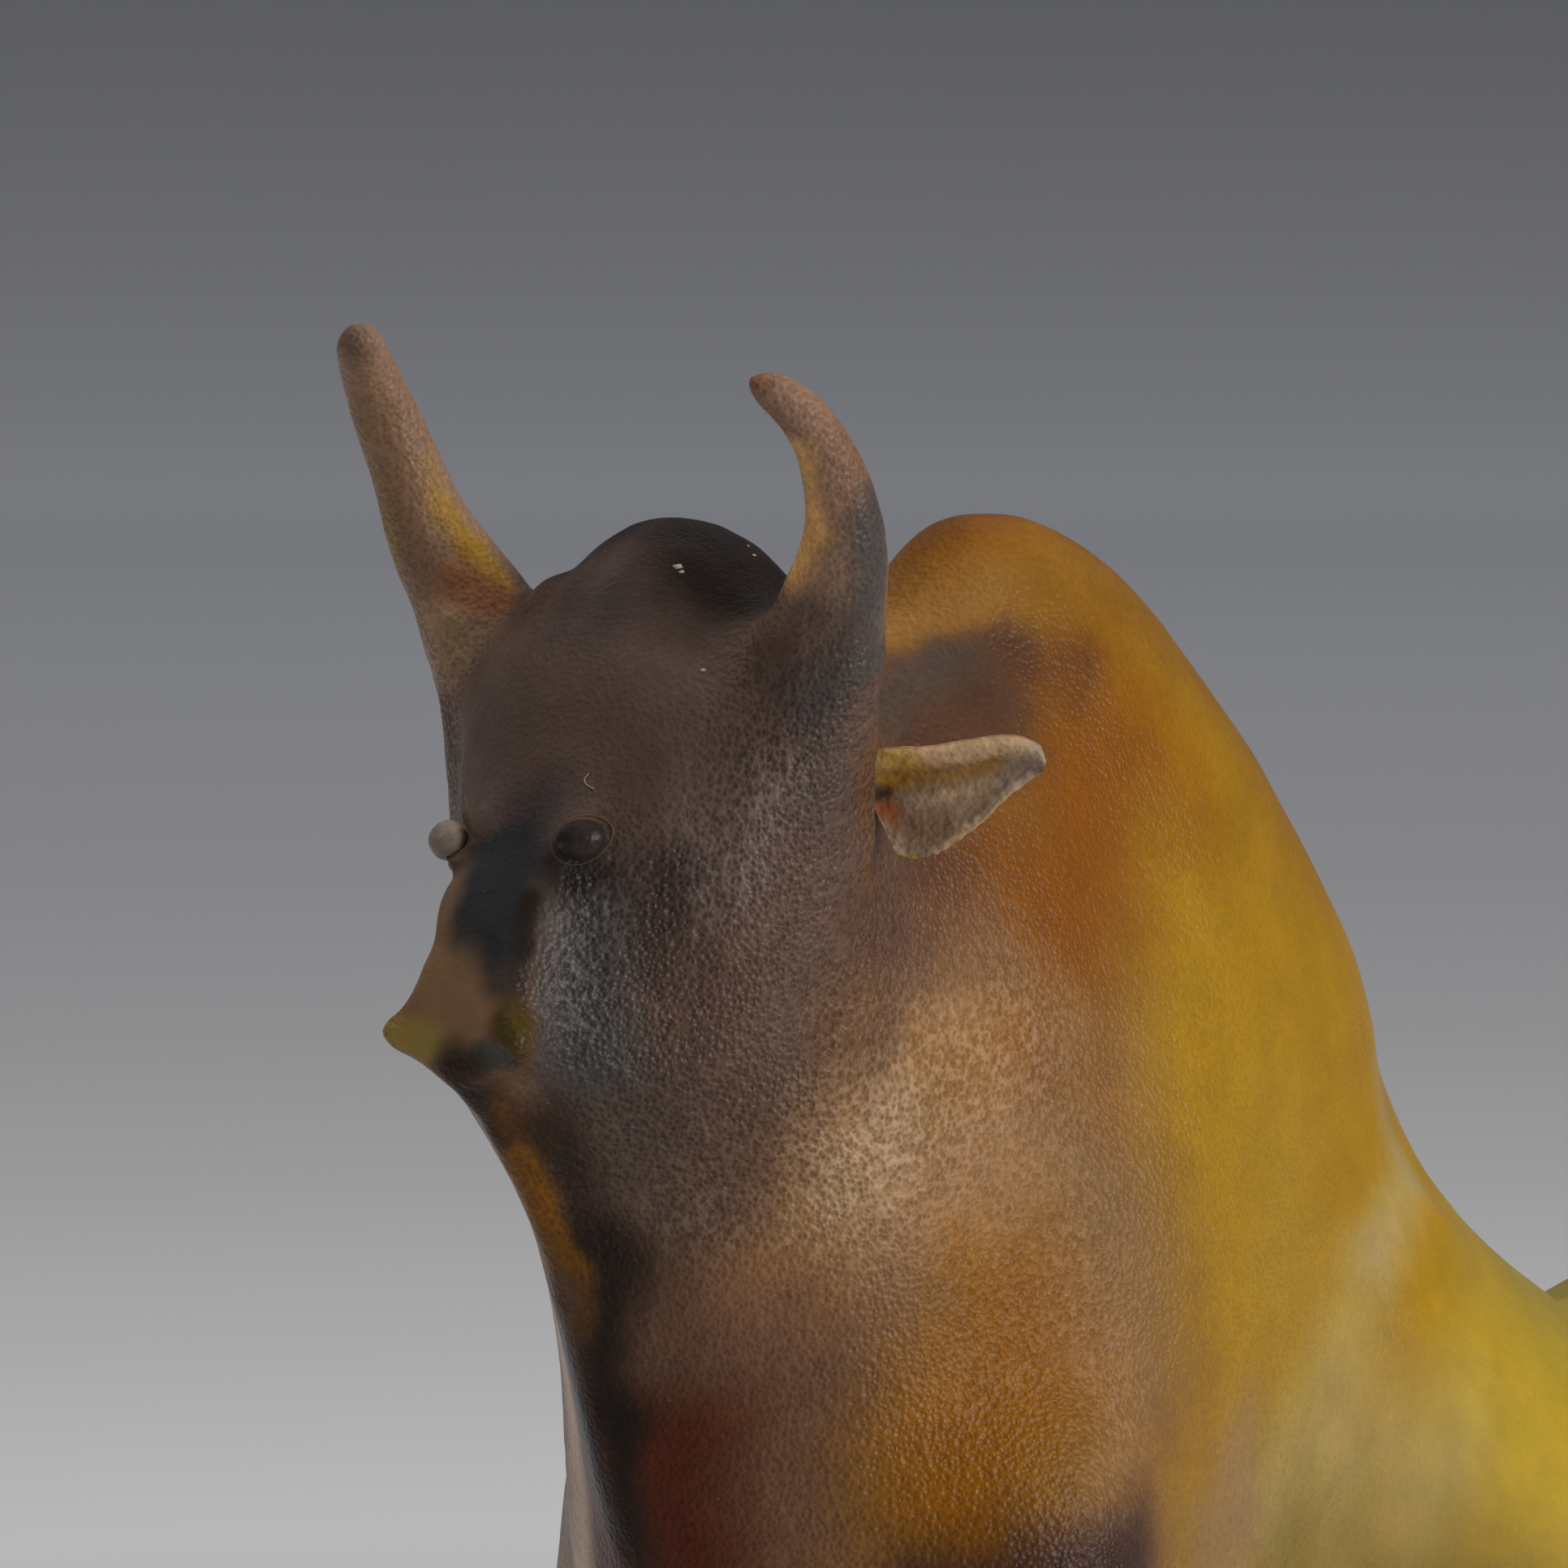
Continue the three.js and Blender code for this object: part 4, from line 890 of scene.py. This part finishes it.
def make_lids(shape, colours, skin):
    """The thin lip of glass that lies on the face round each eye bead."""
    tree = surface_of(skin)
    bm = bmesh.new()
    for side in (1, -1):
        middle, back, up, out = eye_frame(side)
        before = len(bm.verts)
        ring = bmesh.ops.create_circle(bm, segments=12, radius=shape.lid_thickness / 2)["verts"]
        bmesh.ops.rotate(bm, verts=ring, matrix=Euler((math.pi / 2, 0, 0)).to_matrix())
        bmesh.ops.translate(bm, verts=ring, vec=(shape.lid_radius, 0, 0))
        spin_round(bm, ring + edges_of(ring))
        verts = list(bm.verts)[before:]
        for vert in verts:
            p = vert.co.copy()
            almond = 1 + LID_POINT * max(0, p.x / shape.lid_radius) ** 3
            place = middle + back * (LID_LONG * almond * p.x + LID_BACK)
            place += up * (LID_HIGH * p.y + LID_SLANT * p.x + LID_UP)
            hit = tree.ray_cast(place + out * LID_PROBE, -out)[0]
            lift = (hit - place).dot(out) if hit else 0
            vert.co = place + out * (lift + p.z)
        face_outwards(bm, verts)
    piece = new_piece("eye_lids", mesh_of(bm, "eye_lids"))
    modify(piece, "SMOOTH", factor=SMOOTHING, iterations=2)
    points = points_of(piece.data)
    # Painted glint: the upper part of the lip is painted paler
    high = rise(-0.6, 0.9, points[:, 2] - EYE[2])[:, None]
    shades = np.sqrt(colours.jaw) * (1 - high) + np.sqrt(colours.muzzle) * LID_GLINT * high
    store_colours(piece.data, shades, LID_PEBBLES)
    smooth_shade(piece.data)
    return piece


# The cream chips on the crown and the brow: where each lies, and how large it is
CHIPS = [
    ((1.8, 4.3, 110.8), 0.27),
    ((1.9, 4.7, 110.5), 0.17),
    ((4.7, 9.0, 104.8), 0.15),
    ((-3.5, 5.8, 111.4), 0.15),
    ((-4.0, 4.8, 111.9), 0.11),
]
CHIP_WIDE, CHIP_FLAT = 0.7, 0.35
CHIP_RAGS, CHIP_RAG_SIZE = 0.6, 0.22 * MM

# A stray fibre that lies on the brow: its bends, at shares of its length
FIBRE_STOPS = (0, 0.3, 0.6, 1)
FIBRE = [(9.3, 3.8, 98.5), (9.5, 3.6, 98.2), (9.6, 3.8, 97.9), (9.5, 4.4, 97.6)]
FIBRE_RADIUS = 0.03


def on_fibre(t):
    """The place that is a share t along the fibre."""
    return at(*(float(flow(FIBRE_STOPS, values, t)) for values in zip(*FIBRE)))


def add_fibre(bm, tree):
    """A thin closed tube along the bends, resting on the skin."""
    before = len(bm.verts)
    made = bmesh.ops.create_cone(
        bm, cap_ends=True, segments=8, radius1=FIBRE_RADIUS, radius2=FIBRE_RADIUS, depth=1
    )
    sides = [edge for edge in edges_of(made["verts"]) if edge.calc_length() > 0.5]
    bmesh.ops.subdivide_edges(bm, edges=sides, cuts=12)
    verts = list(bm.verts)[before:]
    for vert in verts:
        t = vert.co.z + 0.5
        place = on_fibre(t)
        ahead = on_fibre(t + 0.01) - place
        hit, normal = tree.find_nearest(place)[:2]
        across = normal.cross(ahead).normalized()
        vert.co = hit + (across * vert.co.x + normal * (vert.co.y + FIBRE_RADIUS)) * MM
    face_outwards(bm, verts)


def make_chips(colours, skin):
    """Ragged flakes that are half sunk in the skin, and the fibre."""
    tree = surface_of(skin)
    bm = bmesh.new()
    for place, size in CHIPS:
        hit, normal = tree.find_nearest(at(*place))[:2]
        turn = normal.to_track_quat("Z", "Y")
        made = bmesh.ops.create_icosphere(bm, subdivisions=3, radius=size * MM)
        for vert in made["verts"]:
            ragged = 1 + CHIP_RAGS * noise.noise(vert.co / CHIP_RAG_SIZE + hit / MM)
            x, y, z = vert.co
            vert.co = hit + turn @ Vector((x * ragged, y * ragged * CHIP_WIDE, z * CHIP_FLAT))
    add_fibre(bm, tree)
    piece = new_piece("chips", mesh_of(bm, "chips"))
    shades = np.tile(np.sqrt(colours.chip), (len(piece.data.vertices), 1))
    store_colours(piece.data, shades, CHIP_PEBBLES)
    return piece


# Materials


class Nodes:
    """A material's node tree, with short ways to add to it."""

    def __init__(self, name):
        self.material = bpy.data.materials.new(name)
        self.material.use_nodes = True
        self.tree = self.material.node_tree
        self.shader = self.tree.nodes["Principled BSDF"]

    def add(self, kind, inputs=(), **settings):
        node = self.tree.nodes.new(kind)
        for name, value in settings.items():
            setattr(node, name, value)
        for key, value in dict(inputs).items():
            if isinstance(value, bpy.types.NodeSocket):
                self.tree.links.new(value, node.inputs[key])
            else:
                node.inputs[key].default_value = value
        return node

    def math(self, operation, *values, clamp=False):
        return self.add("ShaderNodeMath", enumerate(values), operation=operation, use_clamp=clamp).outputs[0]

    def ramp(self, value, low, high, to_low=0.0, to_high=1.0):
        inputs = {0: value, 1: low, 2: high, 3: to_low, 4: to_high}
        return self.add("ShaderNodeMapRange", inputs, interpolation_type="SMOOTHSTEP").outputs[0]

    def mix(self, share_of_second, first, second, blend="MIX"):
        inputs = {0: share_of_second, 6: first, 7: second}
        return self.add("ShaderNodeMix", inputs, data_type="RGBA", blend_type=blend).outputs[2]

    def noise(self, place, size, detail=2.0):
        inputs = {"Vector": place, "Scale": 1 / size, "Detail": detail}
        return self.add("ShaderNodeTexNoise", inputs).outputs[0]

    def into(self, output, name):
        self.tree.links.new(output, self.shader.inputs[name])


def rgba(rgb):
    return (*rgb, 1.0)


PEBBLE_CONTRAST = 0.24  # painted light and shade on the pebbles: how much paler their tips are painted, and how much darker the pits
GROUND_SHADE = 1.02
GLINT_PIT_SHADE = 0.15  # painted shade: how much darker the glass is painted where the glints are, in the pits between them
GLINT_COVER = 0.5  # how much of the painted light the tips of the pebbles get there
GLINT_LIGHT = (0.25, 0.22, 0.20, 1)  # what that painted light adds to the glass's colour
DUST_GLINT_SPACING = 0.25 * MM
DUST_GLINT_COVER = 0.4
GLASS_IOR = 1.5
GLOSS = 0.2
SPREAD = (1.0, 0.6, 0.3)  # how far red, green and blue light spread inside the glass


def satin_glass(name, finish, roughness, depth):
    """Dense satin glass. Its colours lie on the mesh's points, and its pebbles are finer than the mesh."""
    nodes = Nodes(name)
    place = nodes.add("ShaderNodeTexCoord").outputs["Object"]
    tint = nodes.add("ShaderNodeAttribute", attribute_name="glass_colour").outputs["Color"]
    pebbled = nodes.add("ShaderNodeAttribute", attribute_name="pebbling").outputs["Fac"]
    voronoi = nodes.add("ShaderNodeTexVoronoi", {"Vector": place, "Scale": 1 / finish.pebble})
    cells = voronoi.outputs["Distance"]
    grain = nodes.noise(place, finish.pebble * 1.5, 3.0)
    # Painted light and shade on the pebbles: their tips are painted paler and their pits darker, in step with
    # the bump
    light = nodes.math("ADD", nodes.ramp(cells, 0.2, 0.7, -1, 1), nodes.ramp(grain, 0.35, 0.65, -0.6, 0.6))
    deep = nodes.math("MULTIPLY", pebbled, pebbled)
    contrast = nodes.math("MULTIPLY", light, deep)
    shade = nodes.math("MULTIPLY_ADD", contrast, PEBBLE_CONTRAST, GROUND_SHADE)
    # Painted glints: where the key light's highlight falls, the pebbles' tips are painted pale and the pits
    # darker
    painted_glints = nodes.add("ShaderNodeAttribute", attribute_name="painted_glints").outputs["Fac"]
    shade = nodes.math("MULTIPLY_ADD", painted_glints, -GLINT_PIT_SHADE, shade)
    clumps = nodes.ramp(nodes.noise(place, finish.pebble * 3, 1.0), 0.35, 0.6, 0.4, 1.0)
    tips = nodes.ramp(nodes.math("MULTIPLY_ADD", cells, 0.3, grain), 0.58, 0.76)
    ridges = nodes.math("MULTIPLY", clumps, tips)
    # Pale specks, partly dust and partly painted glints
    dust_and_glints = nodes.ramp(nodes.noise(place, DUST_GLINT_SPACING, 0.0), 0.86, 0.89, 0, DUST_GLINT_COVER)
    pale = nodes.math("MULTIPLY_ADD", nodes.math("MULTIPLY", painted_glints, ridges), GLINT_COVER, dust_and_glints, clamp=True)
    tinted = nodes.mix(1.0, tint, shade, "MULTIPLY")
    paler = nodes.mix(1.0, tinted, GLINT_LIGHT, "ADD")
    nodes.into(nodes.mix(pale, tinted, paler), "Base Color")
    height = nodes.math("MULTIPLY_ADD", cells, 0.8, grain)
    tall = nodes.math("MULTIPLY", pebbled, finish.relief)
    bump = nodes.add("ShaderNodeBump", {"Height": height, "Strength": 1.0, "Distance": tall})
    nodes.into(bump.outputs[0], "Normal")
    shader = nodes.shader
    shader.inputs["Roughness"].default_value = roughness
    shader.inputs["IOR"].default_value = GLASS_IOR
    shader.inputs["Specular IOR Level"].default_value = GLOSS
    shader.inputs["Subsurface Weight"].default_value = depth
    shader.inputs["Subsurface Radius"].default_value = SPREAD
    shader.inputs["Subsurface Scale"].default_value = finish.reach
    return nodes.material


def finish_piece(piece, material, replaced=None):
    piece.data.materials.clear()
    piece.data.materials.append(material)
    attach(piece, "root")
    if replaced:
        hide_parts(replaced)


EAR_DEPTH = 0.1  # an ear is too thin for the light to spread as deep as in the body
BEAD_ROUGHNESS = 0.28
CHIP_ROUGHNESS = 0.5


class BISON_OT_figure(bpy.types.Operator):
    """Make the figure's skin: head, body, horns, nostrils, legs and tail"""

    bl_idname = "bison.figure"
    bl_label = "Figure"

    def execute(self, context):
        scene = context.scene
        piece = make_skin(scene.bison_shape)
        paint_skin(piece.data, scene.bison_colours)
        finish = scene.bison_finish
        finish_piece(piece, satin_glass("satin_glass", finish, finish.roughness, finish.depth), "bison")
        return {"FINISHED"}


class BISON_OT_ears(bpy.types.Operator):
    """Make the two ears"""

    bl_idname = "bison.ears"
    bl_label = "Ears"

    def execute(self, context):
        scene = context.scene
        piece = make_ears(scene.bison_shape, scene.bison_colours)
        finish = scene.bison_finish
        finish_piece(piece, satin_glass("ear_glass", finish, finish.roughness, EAR_DEPTH))
        return {"FINISHED"}


class BISON_OT_eyes(bpy.types.Operator):
    """Make the eye beads and the lips of glass round them"""

    bl_idname = "bison.eyes"
    bl_label = "Eyes"

    def execute(self, context):
        scene = context.scene
        shape, colours = scene.bison_shape, scene.bison_colours
        material = satin_glass("bead_glass", scene.bison_finish, BEAD_ROUGHNESS, 0.0)
        finish_piece(make_beads(shape, colours), material)
        finish_piece(make_lids(shape, colours, scene.objects["bison_glass"]), material)
        return {"FINISHED"}


class BISON_OT_chips(bpy.types.Operator):
    """Make the cream chips on the crown and the brow, and the stray fibre"""

    bl_idname = "bison.chips"
    bl_label = "Chips"

    def execute(self, context):
        scene = context.scene
        piece = make_chips(scene.bison_colours, scene.objects["bison_glass"])
        finish_piece(piece, satin_glass("chip_glass", scene.bison_finish, CHIP_ROUGHNESS, 0.0))
        return {"FINISHED"}


# Studio

TARGET = (-5.65, 6.28, 97.2)  # the point of the figure at the middle of the picture, in millimetres
CAMERA_TURN = 42  # degrees from the nose towards the animal's left
CAMERA_RISE = 4
CAMERA_AWAY = 0.7
CAMERA_CLIP = (0.01, 20)
SENSOR = 36
FLOOR_RADIUS = 2.2
BOWL_RADIUS = 0.9
WALL_HEIGHT = 2.2
LIGHTS_AIM = (-30, 0, 70)  # the middle of the figure, in millimetres
KEY_SIZE = (1.1, 1.0)
KEY_TURN, KEY_RISE, KEY_AWAY = CAMERA_TURN + 62, 9, 1.65
TOP_SIZE = (1.0, 1.0)
TOP_OFFSET = (-0.1, -0.1, 1.6)
AIR_COLOUR = (0.82, 0.82, 0.83, 1)
AIR_STRENGTH = 0.33
COOLNESS = 0.06  # how much bluer the paper is far from the figure than near it
COOL_START, COOL_SPAN = 0.65, 1.2
PAPER_ROUGHNESS = 0.9
PAPER_GLOSS = 0.1
# Painted light and shade on the paper: how pale it is painted, by the distance in metres from the floor's
# middle
PAINTED_FLOOR_LIGHT = [
    (0.12, 0.75), (0.34, 1.0), (0.48, 0.87), (0.65, 0.755), (0.85, 0.69), (1.14, 0.695), (1.39, 0.765),
    (1.82, 0.915), (2.1, 0.98), (2.337, 0.99), (2.516, 0.75), (2.612, 0.62), (2.677, 0.54), (2.75, 0.47),
]


def towards(turn, rise_by):
    """The direction that lies so many degrees from the nose towards the left, and so many up."""
    a, e = math.radians(turn), math.radians(rise_by)
    return Vector((math.cos(a) * math.cos(e), math.sin(a) * math.cos(e), math.sin(e)))


def make_bowl(stage):
    """A round floor that sweeps up into a wall, so that every view has the same plain ground."""
    profile = [Vector((0, 0, 0)), Vector((FLOOR_RADIUS, 0, 0))]
    for i in range(1, 13):
        a = i / 12 * math.pi / 2
        profile.append(Vector((FLOOR_RADIUS + BOWL_RADIUS * math.sin(a), 0, BOWL_RADIUS * (1 - math.cos(a)))))
    profile.append(Vector((FLOOR_RADIUS + BOWL_RADIUS, 0, WALL_HEIGHT)))
    bm = bmesh.new()
    line = [bm.verts.new(p) for p in profile]
    edges = [bm.edges.new(pair) for pair in zip(line, line[1:])]
    spin_round(bm, line + edges)
    bmesh.ops.remove_doubles(bm, verts=bm.verts, dist=1e-5)
    bmesh.ops.recalc_face_normals(bm, faces=bm.faces)
    bowl = new_piece("studio_bowl", mesh_of(bm, "studio_bowl"))
    nodes = Nodes("studio_paper")
    place = nodes.add("ShaderNodeTexCoord").outputs["Object"]
    away = nodes.add("ShaderNodeVectorMath", {0: place}, operation="LENGTH").outputs["Value"]
    # The painted fade stands in for the light falling off: darker round the figure and up the wall
    shade = nodes.add("ShaderNodeValToRGB", {0: nodes.math("DIVIDE", away, FLOOR_RADIUS + BOWL_RADIUS)})
    fade = shade.outputs[0]
    stops = shade.color_ramp.elements
    for _ in PAINTED_FLOOR_LIGHT[2:]:
        stops.new(1)
    for stop, (reach, value) in zip(stops, PAINTED_FLOOR_LIGHT):
        cool = COOLNESS * min(1, max(0, (reach - COOL_START) / COOL_SPAN))
        stop.position = reach / (FLOOR_RADIUS + BOWL_RADIUS)
        stop.color = (value * (1 - cool / 4), value, value * (1 + cool), 1)
    nodes.into(nodes.mix(1.0, rgba(stage.floor), fade, "MULTIPLY"), "Base Color")
    nodes.shader.inputs["Roughness"].default_value = PAPER_ROUGHNESS
    nodes.shader.inputs["Specular IOR Level"].default_value = PAPER_GLOSS
    bowl.data.materials.append(nodes.material)


def softbox(name, power, size, place, aim):
    """A soft rectangular light that faces `aim`."""
    data = bpy.data.lights.new(name, "AREA")
    data.shape = "RECTANGLE"
    data.size, data.size_y = size
    data.energy = power
    light = bpy.data.objects.new(name, data)
    bpy.context.scene.collection.objects.link(light)
    light.location = place
    light.rotation_euler = (aim - place).to_track_quat("-Z", "Y").to_euler()
    light.visible_camera = False
    return light


class BISON_OT_stage(bpy.types.Operator):
    """Set up the floor, the lights and the camera"""

    bl_idname = "bison.stage"
    bl_label = "Studio"

    def execute(self, context):
        scene = context.scene
        stage = scene.bison_stage
        make_bowl(stage)
        middle = at(*LIGHTS_AIM)
        softbox("key_softbox", stage.key, KEY_SIZE, middle + towards(KEY_TURN, KEY_RISE) * KEY_AWAY, middle)
        top = softbox("top_softbox", stage.top, TOP_SIZE, middle + Vector(TOP_OFFSET), middle)
        top.visible_glossy = False
        world = bpy.data.worlds.new("studio_air")
        world.use_nodes = True
        world.node_tree.nodes["Background"].inputs["Color"].default_value = AIR_COLOUR
        world.node_tree.nodes["Background"].inputs["Strength"].default_value = AIR_STRENGTH
        scene.world = world
        scene.view_settings.view_transform = "Standard"

        data = bpy.data.cameras.new("camera")
        data.lens = stage.lens
        data.sensor_width = SENSOR
        data.clip_start, data.clip_end = CAMERA_CLIP
        camera = bpy.data.objects.new("camera", data)
        scene.collection.objects.link(camera)
        back = towards(CAMERA_TURN, CAMERA_RISE)
        camera.location = at(*TARGET) + back * CAMERA_AWAY
        camera.rotation_euler = (-back).to_track_quat("-Z", "Y").to_euler()
        scene.camera = camera
        return {"FINISHED"}


class BISON_PT_panel(bpy.types.Panel):
    """Lists the makers of the figure and the studio"""

    bl_idname = "BISON_PT_panel"
    bl_label = "Glass Bison"
    bl_space_type = "VIEW_3D"
    bl_region_type = "UI"
    bl_category = "Glass Bison"

    def draw(self, context):
        for maker in MAKERS:
            self.layout.operator(maker.bl_idname)


MAKERS = (BISON_OT_figure, BISON_OT_ears, BISON_OT_eyes, BISON_OT_chips, BISON_OT_stage)
GROUPS = {
    "bison_shape": BisonShape,
    "bison_finish": BisonFinish,
    "bison_colours": BisonColours,
    "bison_stage": BisonStage,
}
CLASSES = (*GROUPS.values(), *MAKERS, BISON_PT_panel)


def register():
    for item in CLASSES:
        bpy.utils.register_class(item)
    for name, group in GROUPS.items():
        setattr(bpy.types.Scene, name, PointerProperty(type=group))


def unregister():
    for name in GROUPS:
        delattr(bpy.types.Scene, name)
    for item in reversed(CLASSES):
        bpy.utils.unregister_class(item)


def main():
    register()
    bpy.ops.bison.figure()
    bpy.ops.bison.ears()
    bpy.ops.bison.eyes()
    bpy.ops.bison.chips()
    bpy.ops.bison.stage()
    bpy.context.view_layer.update()


if __name__ == "__main__":
    main()
